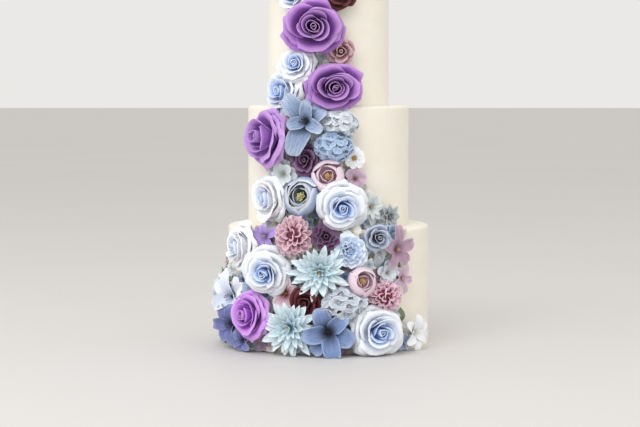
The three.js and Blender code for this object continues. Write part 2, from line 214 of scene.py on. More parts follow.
@dataclass(frozen=True)
class IcingFinish:
    """Buttercream smoothed with a scraper: a soft sheen, faint sweeps and a fine crust."""

    name: str = "buttercream_smoothed"
    colour: str = "#f2ede0"
    shade: str = "#f0eadc"
    roughness: float = 0.5
    sweep_mm: float = 55.0  # length of the scraper's faint sweeps
    crust_mm: float = 1.1  # grain of the crust, drawn coarser than real sugar to show at all

    def make(self) -> bpy.types.Material:
        """The icing's material."""
        g = Graph(self.name)
        place = g.add("TexCoord").outputs["Object"]
        drawn = g.add("Mapping", {"Vector": place, "Scale": (1.0, 1.0, 3.0)}).outputs[0]
        sweep = g.noise(drawn, 1 / (self.sweep_mm * MM), 2.0)
        crust = g.noise(place, 1 / (self.crust_mm * MM), 3.0)
        colour = g.blend(g.band(sweep, 0.35, 0.65), linear(self.shade), linear(self.colour))
        roughness = g.band(sweep, 0.3, 0.7, self.roughness - 0.03, self.roughness + 0.04)
        normal = g.bump(crust, 0.1, 0.0002, g.bump(sweep, 0.05, 0.0015))
        g.feed(g.shader, {"Base Color": colour, "Roughness": roughness, "Normal": normal, "IOR": 1.46})
        g.feed(g.shader, {"Subsurface Weight": 0.18, "Subsurface Scale": 0.004})
        g.feed(g.shader, {"Subsurface Radius": (1.0, 0.7, 0.45)})
        return g.material


@dataclass(frozen=True)
class PetalFinish:
    """Rolled sugar paste dusted with colour: matte and veined by a press, with painted shade at the foot of
    its petals and a rim partly of paler paste and partly of painted highlight.
    """

    name: str
    slot: str
    heart: str  # the innermost petals
    body: str  # the outermost petals
    rim: str  # the thin edge of a petal, partly its own paler paste and partly painted highlight
    depth: str  # painted shade at the foot of a petal and in the crevices, and the colour of its pressed veins
    rim_share: float
    painted_shade_share: float
    painted_shade_to: float  # how far along a petal the painted shade reaches
    veins: float
    turn_at: tuple[float, float] = (0.1, 0.8)  # where heart turns to body, from the middle out
    rim_from: float = 0.72  # where along a petal the rim's colour, with its painted highlight, starts
    vein_mm: float = 1.6  # spacing of the pressed veins
    vein_run: float = 0.06  # how fast they change along a petal, per millimetre
    mottle_mm: float = 7.0  # of the uneven dusting
    grain_mm: float = 0.7
    roughness: float = 0.62

    def make(self) -> bpy.types.Material:
        """The petals' material."""
        g = Graph(self.name)
        whorl, along, tone = (g.add("Attribute", attribute_name=name).outputs["Fac"] for name in PETAL_VALUES)
        place = g.add("TexCoord").outputs
        drawn = g.add("Mapping", {"Vector": place["UV"], "Scale": (1 / self.vein_mm, self.vein_run, 1.0)})
        veins = g.noise(drawn.outputs[0], 1.0, 2.0, 0.55)
        mottle = g.noise(place["Object"], 1 / (self.mottle_mm * MM), 3.0)
        grain = g.noise(place["Object"], 1 / (self.grain_mm * MM), 2.0)
        colour = g.blend(g.band(whorl, *self.turn_at), linear(self.heart), linear(self.body))
        # the rim's colour: partly the paste's own paler edge, partly painted highlight
        colour = g.blend(g.band(along, self.rim_from, 1.0, 0.0, self.rim_share), colour, linear(self.rim))
        # painted shade at the foot of each petal and in the crevices, where the petals' shade falls
        colour = g.blend(g.band(along, 0.0, self.painted_shade_to, self.painted_shade_share, 0.0), colour, linear(self.depth))
        # the pressed veins, drawn in the painted shade's colour
        colour = g.blend(g.band(veins, 0.42, 0.66, 0.0, self.veins), colour, linear(self.depth))
        uneven = g.add("Math", {0: tone, 1: mottle}, operation="ADD").outputs[0]
        light = g.add("MapRange", {0: uneven, 1: 0.3, 2: 1.7, 3: 0.88, 4: 1.1}).outputs[0]
        grey = g.add("CombineColor", {0: light, 1: light, 2: light}).outputs[0]
        colour = g.blend(1.0, colour, grey, "MULTIPLY")
        roughness = g.band(mottle, 0.3, 0.7, self.roughness - 0.06, self.roughness + 0.1)
        normal = g.bump(grain, 0.12, 0.0001, g.bump(veins, 0.35, 0.0005))
        g.feed(g.shader, {"Base Color": colour, "Roughness": roughness, "Normal": normal, "IOR": 1.5})
        g.feed(g.shader, {"Subsurface Weight": 0.2, "Subsurface Scale": 0.002, "Sheen Weight": 0.06})
        g.feed(g.shader, {"Subsurface Radius": (0.8, 0.9, 1.0)})
        return g.material


def dusted(name: str, slot: str, colours: str, *shares: float, **rest: object) -> PetalFinish:
    """A petal finish.

    Args:
        name: Its name after "sugar_paste_".
        slot: Its slot after "petal_".
        colours: Those of the heart, the body, the rim with its painted highlight, and the painted shade in the
            depth.
        *shares: Those of the rim's colour and of the painted shade, how far the painted shade reaches, and
                 that of the veins.
        **rest: Whatever else differs.

    Returns:
        The finish.
    """
    return PetalFinish(f"sugar_paste_{name}", f"petal_{slot}", *colours.split(), *shares, **rest)


FINISHES = {
    "ice": dusted(
        "ice_blue", "ice", "#a6c6f8 #f2f7ff #fbfdff #86aaee", 0.55, 0.72, 0.38, 0.04, turn_at=(0.1, 0.6)),
    # ice made whiter for the roses round the left side, heart and crevices included: partly their own whiter
    # paste, partly painted light against the shade of their deep whorls
    "ice_white": dusted(
        "ice_white", "ice", "#b4d1fd #f9fbff #ffffff #d6e6ff", 0.5, 0.34, 0.28, 0.03, turn_at=(0.0, 0.34)),
    "violet": dusted(
        "violet", "violet", "#7c4098 #9c62ba #cea2de #26052f", 0.8, 0.98, 0.82, 0.08, turn_at=(0.0, 0.8)),
    "violet_lit": dusted(
        "violet_light", "violet", "#9c63bd #bb8ad6 #d9b6ea #531c6d", 0.6, 0.9, 0.6, 0.1, turn_at=(0.0, 0.8),
        rim_from=0.74),
    "magenta": dusted("magenta", "magenta", "#b660d6 #cc8ce8 #e6bcf4 #661f84", 0.6, 0.9, 0.56, 0.12),
    "dusk": dusted("dusky_rose", "dusk", "#8c5650 #c69aa3 #e6c6ca #441c24", 0.7, 0.92, 0.62, 0.18),
    "dusk_deep": dusted("dusky_rose_dark", "dusk", "#360c11 #4f161d #84403f #190306", 0.45, 0.95, 0.75, 0.2),
    "plum": dusted("plum", "plum", "#43253f #70496f #977399 #1d0a20", 0.55, 0.94, 0.68, 0.18),
    "wine": dusted("wine", "wine", "#430c16 #5a1522 #83363e #1b0208", 0.42, 0.93, 0.72, 0.2),
    "wine_fade": dusted(
        "wine_to_pink", "wine", "#8a3448 #dfb0bf #f9f0f4 #5c1022", 0.95, 0.95, 0.6, 0.32, rim_from=0.36),
    "slate": dusted(
        "slate_blue", "slate", "#7388ab #90a4c4 #c3d0e4 #181d2b", 0.7, 0.98, 0.5, 0.32, rim_from=0.6,
        vein_mm=1.8),
    "slate_deep": dusted(
        "slate_blue_dark", "slate", "#667dab #7c92be #b4c6e4 #10131c", 0.6, 0.98, 0.64, 0.26, vein_mm=1.3),
    "slate_pale": dusted(
        "slate_blue_pale", "slate", "#cbd8f0 #e6eefb #f3f7fd #8b98bc", 0.6, 0.8, 0.45, 0.14, vein_mm=1.3),
    "slate_violet": dusted(
        "slate_violet", "slate", "#5f64a2 #747cb0 #a8b0d6 #262550", 0.5, 0.95, 0.6, 0.26, vein_mm=1.3),
    "slate_rose": dusted(
        "slate_rose", "slate", "#18203a #a4b0ca #dfe4f0 #0a0e1c", 0.6, 0.94, 0.7, 0.12, turn_at=(0.12, 0.76)),
    "slate_cup": dusted(
        "slate_cup", "slate", "#86989a #9cadc8 #eef3f9 #38463e", 0.8, 0.92, 0.4, 0.12, rim_from=0.88),
    "sky": dusted("sky", "sky", "#98b3d6 #a9c0dd #d3e2f3 #4a70a4", 0.6, 0.92, 0.6, 0.08),
    "sky_ruffle": dusted(
        "sky_ruffle", "sky", "#b2d0fa #dfeeff #f4faff #a6c6f2", 0.6, 0.4, 0.45, 0.04, turn_at=(0.0, 0.6)),
    "white": dusted("white", "white", "#e8edf1 #f1f4f7 #fbfcfd #b3beb2", 0.5, 0.6, 0.4, 0.06),
    "white_cluster": dusted("white_floret", "white", "#cbd4de #d5dde6 #edf1f5 #8c9aa4", 0.6, 0.8, 0.55, 0.06),
    "white_shaded": dusted(
        "white_floret_shaded", "white", "#b9c3d0 #c3ccd8 #e6eaf0 #7b8894", 0.6, 0.85, 0.6, 0.08),
    "cream": dusted("cream", "cream", "#dcd9cf #e2dfd7 #f4f2ec #a69d7e", 0.4, 0.7, 0.4, 0.06),
    "sage": dusted("sage", "sage", "#d0dadb #dce4e6 #f0f4f5 #8c9c96", 0.6, 0.75, 0.6, 0.14),
    "sage_leaf": dusted("sage_leaf", "sage", "#aab2b6 #b5bdc0 #ced4d4 #788482", 0.4, 0.6, 0.6, 0.25),
    "grey": dusted("grey", "grey", "#99a1a6 #b8c0c4 #e0e4e5 #262b30", 0.7, 0.95, 0.66, 0.35),
    "mint": dusted("mint", "mint", "#c8e0e6 #dbecf3 #f3f9fb #7ba5b6", 0.6, 0.9, 0.66, 0.14, vein_mm=1.2),
    "blush": dusted("blush", "blush", "#d0a6b6 #e6cdd9 #f3e1ea #996a7c", 0.65, 0.8, 0.55, 0.08),
    "mauve": dusted("mauve", "mauve", "#a5809a #b496ab #d3bfcd #6a4560", 0.55, 0.85, 0.5, 0.24),
    "mauve_pale": dusted("mauve_pale", "mauve", "#b896ac #c9afc2 #e2d3de #7b5972", 0.6, 0.8, 0.45, 0.2),
    "lilac": dusted("lilac", "lilac", "#9a7cca #b298dc #d6caf2 #552c70", 0.55, 0.8, 0.5, 0.2),
    "periwinkle": dusted("periwinkle", "lilac", "#9cb4d8 #abc4df #cfdcef #6272a4", 0.5, 0.8, 0.4, 0.16),
    "leaf": dusted("leaf", "sage", "#6f8161 #7f9073 #a9b79a #354231", 0.4, 0.6, 0.6, 0.3),
    "rosewood": dusted(
        "rosewood", "rosewood", "#dcacbf #e8c0d0 #f8e3ea #8a4a62", 0.75, 0.96, 0.66, 0.06, rim_from=0.66),
}


@dataclass(frozen=True)
class PlainFinish:
    """Sugar paste of one dusted colour, as on stamens and stems: grainy and matte."""

    name: str
    colour: str
    shade: str
    grain_mm: float = 0.9
    roughness: float = 0.7

    def make(self) -> bpy.types.Material:
        """The material, mottled between its colour and its shade."""
        g = Graph(self.name)
        place = g.add("TexCoord").outputs["Object"]
        grain = g.noise(place, 1 / (self.grain_mm * MM), 2.0)
        colour = g.blend(g.band(grain, 0.35, 0.65), linear(self.shade), linear(self.colour))
        normal = g.bump(grain, 0.5, 0.0003)
        g.feed(g.shader, {"Base Color": colour, "Roughness": self.roughness, "Normal": normal, "IOR": 1.5})
        return g.material


PLAIN_FINISHES = {
    "stem": PlainFinish("sugar_stem_pale", "#dfe3d2", "#b9c2a6"),
    # the cores of the clusters and pompoms: dark balls of painted shade, seen in the gaps between their
    # florets and petals
    "shade": PlainFinish("painted_shade_core_grey_green", "#8d989c", "#76827f"),
    "painted_shade_rose": PlainFinish("painted_shade_core_dark_rose", "#7a3446", "#5a2032"),
    "gold": PlainFinish("stamen_gold", "#e6c384", "#b3854a", 0.8),
    "lime": PlainFinish("stamen_pale_yellow", "#f4edbc", "#b9a95c", 0.8),
    "soot": PlainFinish("stamen_dark", "#2c2a30", "#15131a", 0.8),
    "amber": PlainFinish("stamen_amber", "#b9773a", "#7d4618", 0.8),
    "pearl": PlainFinish("stamen_pearl", "#f0eee0", "#cfcab0", 0.8),
}


class Palette:
    """Makes each material once, when a piece first asks for it."""

    def __init__(self) -> None:
        """Starts with no material made."""
        self.made: dict[str, bpy.types.Material] = {}

    def get(self, key: str) -> bpy.types.Material:
        """The material of a named finish."""
        if key not in self.made:
            self.made[key] = {"icing": IcingFinish(), **PLAIN_FINISHES, **FINISHES}[key].make()
        return self.made[key]


# ---- Petals ----


LEAST_OUT = 0.04  # nearer to the flower's middle than this a petal isn't wrapped any tighter
MOST_WRAP = 2.7  # radians to which a petal's side reaches round the middle


@dataclass(frozen=True)
class Petal:
    """The form of a petal. Its spine is a Bezier curve of four out and up pairs from its foot to its rim."""

    spine: tuple[float, ...] = ()
    width: float = 0.5  # half its width at the fullest
    foot: float = 0.3  # its width at the foot, as a share of the fullest
    fullest: float = 0.75  # where along it is widest
    narrow: float = 0.1  # how much it narrows from there to its rim
    tip: float = 0.3  # how far its corners are rounded off
    tip_power: float = 2.6  # 2 gives a round end, more a squarer one and less a pointed one
    hug: float = 1.0  # 1 wraps it round the flower's middle, 0 leaves it flat across
    cup: float = 0.0  # how far its sides rise
    crease: float = 0.0  # how far its sides rise from a sharp midrib
    fold: float = 0.0  # how far its sides roll back at the rim, which leaves a point in the middle
    curl: float = 0.0  # how far its whole rim rolls back
    skew: float = 0.0  # how far one side stands out over its neighbour
    ruffle: float = 0.0  # height of the waves along its rim
    waves: float = 3.0  # how many waves
    notch: float = 0.0  # depth of the notch in the middle of its rim
    point: float = 0.0  # how far the middle of its rim stands out, which makes a ring of three a triangle

    def bent(self, across: Array, along: Array, draw: Draw, uneven: float) -> tuple[Array, Array]:
        """Bends a flat blank into the petal, pointing along +Y with the flower's face to +Z.

        Args:
            across: From -1 to 1 over the petal's width, for each vertex.
            along: From 0 at the foot to 1 at the rim, for each vertex.
            draw: The source of random numbers.
            uneven: How much petals differ from each other.

        Returns:
            The vertices' places, and how far each lies across and along the petal, in radii.
        """
        spine = np.array(self.spine).reshape(4, 2)
        spine = spine[0] + (spine - spine[0]) * (1 + uneven * draw.uniform(-1, 1, 2))
        phase, second = draw.uniform(0, 2 * math.pi, 2)
        wave = np.sin(self.waves * math.pi * across + phase) + 0.5 * np.sin(2.3 * self.waves * across + second)
        rounded = 1 - np.sqrt(np.clip(1 - np.abs(across) ** self.tip_power, 0, 1))
        reach = along * (1 - self.tip * rounded)
        reach = reach - self.notch * along**3 * np.exp(-((across / 0.22) ** 2))
        reach = reach + 0.35 * self.ruffle * wave * along**4
        out, up, tangent = self._on_spine(spine, reach)
        out = out * (1 + self.point * (1 - np.abs(across)) * along**2)
        rising = np.clip(along / self.fullest, 0, 1)
        falling = np.clip((along - self.fullest) / (1 - self.fullest), 0, 1)
        swell = self.foot + (1 - self.foot) * np.sin(rising * math.pi / 2)
        width = self.width * swell * (1 - self.narrow * falling**2)
        side = across * width * (1 + uneven * draw.uniform(-1, 1))
        angle = np.clip(side / np.maximum(out, LEAST_OUT), -MOST_WRAP, MOST_WRAP)
        radial = (1 - self.hug) * out + self.hug * out * np.cos(angle)
        tangential = (1 - self.hug) * side + self.hug * np.maximum(out, LEAST_OUT) * np.sin(angle)
        raised = self.cup * width * across**2 + self.crease * width * np.abs(across)
        raised = raised - self.fold * across**2 * along**3 - self.curl * smooth(0.7, 1.0, along) ** 2
        raised = raised + self.ruffle * wave * along**2.5
        inward = np.stack([-tangent[:, 1], tangent[:, 0]], 1)
        radial = radial + inward[:, 0] * raised + self.skew * across * along
        up = up + inward[:, 1] * raised
        return np.stack([tangential, radial, up], 1), np.stack([side, along * np.ptp(spine, axis=0).sum()], 1)

    @staticmethod
    def _on_spine(spine: Array, share: Array) -> tuple[Array, Array, Array]:
        """Follows a cubic Bezier curve.

        Args:
            spine: Its four points.
            share: How far along, for each vertex.

        Returns:
            How far out and up each place is, and the curve's direction there.
        """
        t = share[:, None]
        place = (1 - t) ** 3 * spine[0] + 3 * (1 - t) ** 2 * t * spine[1]
        place = place + 3 * (1 - t) * t**2 * spine[2] + t**3 * spine[3]
        slope = 3 * (1 - t) ** 2 * (spine[1] - spine[0]) + 6 * (1 - t) * t * (spine[2] - spine[1])
        slope = slope + 3 * t**2 * (spine[3] - spine[2])
        slope = slope / np.maximum(np.linalg.norm(slope, axis=1, keepdims=True), 1e-6)
        return place[:, 0], place[:, 1], slope


@dataclass(frozen=True)
class Whorl:
    """A ring of alike petals."""

    count: int
    form: Petal
    spine: tuple[float, ...]
    width: float
    whorl: float  # 0 in the middle of the flower and 1 outside, for the colour
    phase: float = 0.0  # turned by this share of a petal
    cells: tuple[int, int] = (12, 9)  # the blank's cells across and along

    @property
    def petal(self) -> Petal:
        """The petal's form with this ring's own spine and width."""
        return replace(self.form, spine=self.spine, width=self.width)


@dataclass(frozen=True)
class Bloom:
    """A kind of flower. Each of its rings has the fields of a whorl, from the middle out."""

    rings: tuple[tuple, ...]
    thickness: float = 0.7  # millimetres
    uneven: float = 0.1
    back: float = -0.28  # height of its back
    spiral: float = 0.05  # how much a ring's last petal is larger than its first

    @property
    def whorls(self) -> list[Whorl]:
        """Its rings of petals."""
        return [Whorl(*ring) for ring in self.rings]


BUD = Petal(skew=0.07, tip=0.16, tip_power=2.0)
WRAP = Petal(hug=0.85, skew=0.1, tip=0.2, fold=0.03, curl=0.07, point=0.14)
FLARE = Petal(hug=0.85, skew=0.1, tip=0.28, fold=0.1, curl=0.11, ruffle=0.02, point=0.18)
OUTER = Petal(hug=0.8, skew=0.08, tip=0.44, tip_power=1.6, fold=0.2, curl=0.13, ruffle=0.02, point=0.14)
BOWL = Petal(hug=0.95, skew=0.08, tip=0.22, ruffle=0.008)
FRILL = Petal(hug=0.7, skew=0.04, tip=0.16, ruffle=0.09, waves=2.6, notch=0.06)
OPEN = Petal(hug=0.0)
POINT = replace(OPEN, foot=0.55, fullest=0.5, narrow=0.95, tip=0.0, crease=0.42)
SCOOP = Petal(foot=0.4, fullest=0.6, narrow=0.75, tip=0.05, hug=0.15, cup=0.42)
ROUND = replace(OPEN, narrow=0.04, tip_power=2.2)
BLADE = replace(ROUND, foot=0.18, fullest=0.66, tip=0.32, cup=0.34, crease=0.08, ruffle=0.02, waves=1.6)
SPOON = replace(ROUND, foot=0.16, fullest=0.74, tip=0.3, cup=0.26, ruffle=0.03, waves=2.0)
STRAP = replace(OPEN, foot=0.34, fullest=0.58, narrow=0.8, tip=0.06, crease=0.3, ruffle=0.02, waves=1.5)
FLORET_PETAL = replace(
    SPOON, spine=(0.04, -0.1, 0.35, 0.06, 0.7, 0.16, 1, 0.1), width=0.58, foot=0.3, fullest=0.62, cup=0.22)
CURL_PETAL = replace(
    OPEN, spine=(-0.1, -0.8, 0.3, -0.4, 0.66, 0.3, 0.4, 0.86), width=0.6, foot=0.6, tip=0.2, cup=0.9,
    ruffle=0.05)
LEAF_FORM = replace(
    OPEN, spine=(0, 0, 0.3, 0.14, 0.7, -0.1, 1, 0), width=0.36, foot=0.1, fullest=0.45, narrow=1.0, tip=0.0,
    crease=0.25, ruffle=0.03)

ROSE = Bloom((
    (2, BUD, (0.005, 0, 0.02, 0.1, 0.05, 0.36, 0.02, 0.5), 0.1, 0, 0, (10, 7)),
    (2, BUD, (0.01, -0.2, 0.07, 0, 0.12, 0.34, 0.1, 0.54), 0.24, 0.04, 0.6, (12, 7)),
    (2, BUD, (0.03, -0.24, 0.17, -0.05, 0.22, 0.34, 0.21, 0.57), 0.42, 0.1, 0.3, (14, 8)),
    (2, WRAP, (0.04, -0.25, 0.25, -0.1, 0.28, 0.33, 0.29, 0.55), 0.52, 0.16, 0.55, (14, 8)),
    (3, WRAP, (0.05, -0.26, 0.34, -0.16, 0.38, 0.32, 0.42, 0.52), 0.58, 0.28, 0.75, (14, 9)),
    (3, FLARE, (0.07, -0.27, 0.54, -0.28, 0.54, 0.28, 0.7, 0.4), 0.86, 0.5, 0.2, (16, 10)),
    (4, OUTER, (0.09, -0.28, 0.64, -0.34, 0.68, 0.22, 0.88, 0.16), 0.84, 0.8, 0.6, (16, 11)),
    (4, OUTER, (0.1, -0.28, 0.66, -0.4, 0.78, 0.08, 0.97, -0.04), 0.88, 1, 0.1, (16, 11)),
), uneven=0.14)
GARDEN_ROSE = Bloom((
    (2, BUD, (0.01, -0.2, 0.05, 0, 0.1, 0.34, 0.06, 0.5), 0.18, 0, 0, (12, 7)),
    (3, BUD, (0.03, -0.24, 0.14, -0.05, 0.17, 0.34, 0.15, 0.54), 0.22, 0.08, 0.3, (12, 8)),
    (3, WRAP, (0.05, -0.26, 0.24, -0.14, 0.27, 0.34, 0.27, 0.53), 0.36, 0.2, 0.75),
    (4, WRAP, (0.06, -0.27, 0.36, -0.22, 0.38, 0.3, 0.44, 0.48), 0.46, 0.4, 0.2),
    (3, FLARE, (0.07, -0.27, 0.5, -0.28, 0.54, 0.26, 0.64, 0.34), 0.8, 0.62, 0.6, (16, 10)),
    (4, OUTER, (0.09, -0.28, 0.62, -0.32, 0.7, 0.2, 0.82, 0.16), 0.8, 0.84, 0.1, (16, 10)),
    (5, OUTER, (0.1, -0.28, 0.68, -0.38, 0.8, 0.08, 0.96, -0.02), 0.76, 1, 0.65, (14, 10)),
))
SMALL_ROSE = Bloom((
    (3, BUD, (0.02, -0.2, 0.08, 0, 0.14, 0.3, 0.1, 0.5), 0.24, 0, 0, (8, 7)),
    (3, WRAP, (0.04, -0.24, 0.24, -0.05, 0.28, 0.34, 0.26, 0.54), 0.36, 0.3, 0.3, (10, 8)),
    (4, FLARE, (0.06, -0.26, 0.44, -0.22, 0.5, 0.28, 0.6, 0.4), 0.56, 0.6, 0.5),
    (4, FLARE, (0.1, -0.28, 0.62, -0.34, 0.76, 0.14, 0.92, 0.08), 0.8, 1, 0.1),
), thickness=0.6)
CUP = Bloom((
    (3, BOWL, (0.1, -0.24, 0.34, -0.26, 0.5, 0, 0.34, 0.28), 0.46, 0.1),
    (3, BOWL, (0.1, -0.28, 0.62, -0.34, 0.98, 0.04, 0.52, 0.44), 0.84, 0.6, 0.4, (16, 11)),
    (3, BOWL, (0.1, -0.3, 0.78, -0.46, 1.34, 0, 0.62, 0.48), 1.12, 1, 0.9, (18, 12)),
), back=-0.3, uneven=0.08)
ANEMONE = Bloom((
    (3, BOWL, (0.1, -0.26, 0.4, -0.3, 0.6, 0, 0.38, 0.34), 0.52, 0.3, 0, (14, 9)),
    (3, BOWL, (0.1, -0.28, 0.56, -0.38, 0.9, 0.02, 0.46, 0.42), 0.8, 0.6, 0.4, (16, 10)),
    (3, BOWL, (0.1, -0.3, 0.7, -0.42, 1.14, 0.02, 0.56, 0.47), 1, 0.85, 0.1, (16, 11)),
    (3, BOWL, (0.1, -0.3, 0.8, -0.46, 1.34, 0, 0.68, 0.44), 1.16, 1, 0.7, (18, 12)),
), back=-0.3, uneven=0.08)
RUFFLE = Bloom((
    (3, FRILL, (0.02, -0.2, 0.08, 0, 0.12, 0.3, 0.12, 0.42), 0.2, 0, 0, (12, 6)),
    (4, FRILL, (0.04, -0.22, 0.2, -0.05, 0.28, 0.3, 0.34, 0.44), 0.34, 0.25, 0.4, (12, 7)),
    (5, FRILL, (0.06, -0.24, 0.4, -0.2, 0.5, 0.22, 0.6, 0.36), 0.46, 0.5, 0.1, (14, 8)),
    (6, FRILL, (0.08, -0.26, 0.52, -0.28, 0.68, 0.12, 0.84, 0.22), 0.54, 0.75, 0.6, (14, 8)),
    (6, FRILL, (0.08, -0.26, 0.58, -0.32, 0.82, 0, 1, 0.04), 0.62, 1, 0.2, (14, 8)),
), thickness=0.45, uneven=0.24)
DAHLIA = Bloom((
    (6, POINT, (0.02, -0.1, 0.06, 0.1, 0.12, 0.26, 0.16, 0.4), 0.05, 0, 0, (4, 6)),
    (9, POINT, (0.05, -0.12, 0.2, 0.06, 0.3, 0.26, 0.4, 0.42), 0.085, 0.25, 0.3, (6, 8)),
    (11, POINT, (0.07, -0.14, 0.32, 0, 0.48, 0.2, 0.64, 0.33), 0.115, 0.5, 0.6, (6, 9)),
    (13, POINT, (0.09, -0.16, 0.42, -0.06, 0.66, 0.12, 0.86, 0.18), 0.13, 0.75, 0.1, (6, 10)),
    (14, POINT, (0.1, -0.18, 0.46, -0.14, 0.78, 0.04, 1.03, 0.02), 0.145, 1, 0.5, (6, 10)),
), thickness=0.5, uneven=0.2, back=-0.2, spiral=0.0)
ROSETTE = Bloom((
    (5, SCOOP, (0.02, -0.14, 0.1, 0, 0.16, 0.2, 0.12, 0.36), 0.13, 0, 0, (6, 7)),
    (6, SCOOP, (0.06, -0.18, 0.26, -0.02, 0.38, 0.22, 0.44, 0.38), 0.2, 0.3, 0.5, (8, 8)),
    (8, SCOOP, (0.08, -0.2, 0.42, -0.1, 0.6, 0.16, 0.74, 0.26), 0.25, 0.65, 0.1, (8, 9)),
    (8, SCOOP, (0.1, -0.22, 0.5, -0.22, 0.8, 0.02, 1.03, 0.02), 0.32, 1, 0.6, (8, 9)),
), thickness=0.6, back=-0.24)
LILY = Bloom((
    (3, BLADE, (0.03, -0.36, 0.28, 0.02, 0.62, 0.22, 1.03, 0.06), 0.31, 0.6, 0, (12, 14)),
    (3, BLADE, (0.03, -0.4, 0.3, -0.08, 0.66, 0.1, 1, -0.04), 0.31, 1, 0.5, (12, 14)),
), back=-0.4, spiral=0.0)
BLOSSOM = Bloom((
    (5, SPOON, (0.05, -0.14, 0.34, 0.02, 0.7, 0.14, 1.02, 0.06), 0.44, 1, 0, (10, 8)),
), thickness=0.5, back=-0.18, spiral=0.0)
COSMOS = replace(BLOSSOM, uneven=0.16, rings=(
    (5, SPOON, (0.05, -0.14, 0.34, 0.02, 0.7, 0.14, 1.04, 0.04), 0.3, 1),
))
STAR = replace(BLOSSOM, rings=(
    (7, STRAP, (0.06, -0.1, 0.28, 0.1, 0.5, 0.24, 0.74, 0.3), 0.18, 0.5, 0.5, (6, 8)),
    (8, STRAP, (0.06, -0.16, 0.34, 0, 0.68, 0.12, 1.04, 0.06), 0.24, 1, 0, (6, 9)),
))
DAISY = replace(BLOSSOM, back=-0.16, rings=(
    (8, SPOON, (0.1, -0.1, 0.38, 0.04, 0.7, 0.12, 1.03, 0.05), 0.36, 1, 0, (8, 8)),
))
DOUBLE_BLOSSOM = Bloom((
    (5, SPOON, (0.05, -0.1, 0.26, 0.12, 0.5, 0.28, 0.72, 0.3), 0.34, 0.5, 0.5, (10, 9)),
    (5, SPOON, (0.05, -0.16, 0.34, 0, 0.7, 0.12, 1.03, 0.06), 0.46, 1, 0, (10, 9)),
), thickness=0.5, back=-0.2)


class Kind(Enum):
    """The kinds of flower."""

    ROSE = "rose"
    GARDEN_ROSE = "garden rose"
    SMALL_ROSE = "small rose"
    CUP = "cupped peony"
    ANEMONE = "anemone"
    POMPOM = "pompom chrysanthemum"
    RUFFLE = "carnation"
    DAHLIA = "dahlia"
    ROSETTE = "broad-petalled dahlia"
    LILY = "lily"
    BLOSSOM = "blossom"
    COSMOS = "five-petalled cosmos"
    DOUBLE = "double blossom"
    STAR = "narrow-petalled cosmos"
    DAISY = "daisy"
    CLUSTER = "hydrangea"
    LEAF = "leaf"


K = Kind
BLOOMS = {
    K.ROSE: ROSE, K.GARDEN_ROSE: GARDEN_ROSE, K.SMALL_ROSE: SMALL_ROSE, K.CUP: CUP, K.ANEMONE: ANEMONE,
    K.RUFFLE: RUFFLE, K.DAHLIA: DAHLIA, K.ROSETTE: ROSETTE, K.LILY: LILY, K.BLOSSOM: BLOSSOM, K.COSMOS: COSMOS,
    K.DOUBLE: DOUBLE_BLOSSOM, K.STAR: STAR, K.DAISY: DAISY,
}


@dataclass(frozen=True)
class Heart:
    """What stands in the middle of an open flower. Lengths are shares of its radius."""

    dome: float  # radius of the dome
    dome_finish: str
    stamens: int
    reach: float  # how far from the middle the stamens stand
    height: float  # of their tips
    tip: float  # radius of their tips
    thread_finish: str
    tip_finish: str
    level: float = -0.06  # height of the dome's middle


# ---- The cake ----


@dataclass(frozen=True)
class Tier:
    """One round tier of the cake, in millimetres."""

    name: str
    radius: float
    base: float
    height: float = 150.0
    edge: float = 4.0  # radius of its rounded top edge
    edge_cuts: int = 6
    sides: int = 192
    levels: int = 14  # cuts round the wall that let it be slightly uneven
    unevenness: float = 0.1  # of the scraped wall

    @property
    def top(self) -> float:
        """The height of its flat top."""
        return self.base + self.height

    def build(self, palette: Palette) -> Piece:
        """Turns, rounds and dresses the tier.

        Args:
            palette: Where its icing comes from.

        Returns:
            The tier's piece, which replaces its CAD node.
        """
        deselect_all()
        bpy.ops.mesh.primitive_cylinder_add(
            vertices=self.sides, radius=self.radius * MM, depth=self.height * MM,
            location=(0, 0, (self.base + self.height / 2) * MM))
        piece = bpy.context.object
        bpy.ops.object.transform_apply(location=True, rotation=True, scale=True)
        bpy.ops.object.mode_set(mode="EDIT")
        for level in range(1, self.levels + 1):
            bpy.ops.mesh.select_all(action="SELECT")
            height = (self.base + self.edge + (self.height - 3 * self.edge) * level / self.levels) * MM
            bpy.ops.mesh.bisect(plane_co=(0, 0, height), plane_no=(0, 0, 1))
        self._select_rim(piece)
        bpy.ops.mesh.bevel(offset=self.edge * MM, segments=self.edge_cuts, profile=0.5)
        bpy.ops.object.mode_set(mode="OBJECT")
        self._scrape(piece)
        bpy.ops.object.shade_smooth_by_angle(angle=math.radians(40))
        piece.data.materials.append(palette.get("icing"))
        piece.name = f"icing_{self.name}"
        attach(piece, BODY)
        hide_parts(f"tier_{self.name}")
        return piece

    def _select_rim(self, piece: Piece) -> None:
        """Selects the edges round the flat top, in edit mode."""
        bpy.ops.mesh.select_mode(type="EDGE")
        bpy.ops.mesh.select_all(action="DESELECT")
        bpy.ops.object.mode_set(mode="OBJECT")
        vertices = piece.data.vertices
        for edge in piece.data.edges:
            edge.select = all(abs(vertices[v].co.z - self.top * MM) < 1e-5 for v in edge.vertices)
        bpy.ops.object.mode_set(mode="EDIT")

    def _scrape(self, piece: Piece) -> None:
        """Gives the wall the faint waves that a scraper leaves."""
        points = points_of(piece)
        out = np.hypot(points[:, 0], points[:, 1])
        angle = np.arctan2(points[:, 1], points[:, 0])
        up = points[:, 2] / MM
        wave = np.sin(3 * angle + up / 37 + self.radius) + 0.6 * np.sin(7 * angle - up / 23)
        wave = wave + 0.4 * np.sin(up / 11 + 2 * angle)
        wall = smooth(0.8, 1.0, out / (self.radius * MM))
        share = 1 + wall * (self.unevenness * (wave / 2 - 1) / self.radius)
        points[:, :2] *= share[:, None]
        set_points(piece, points)


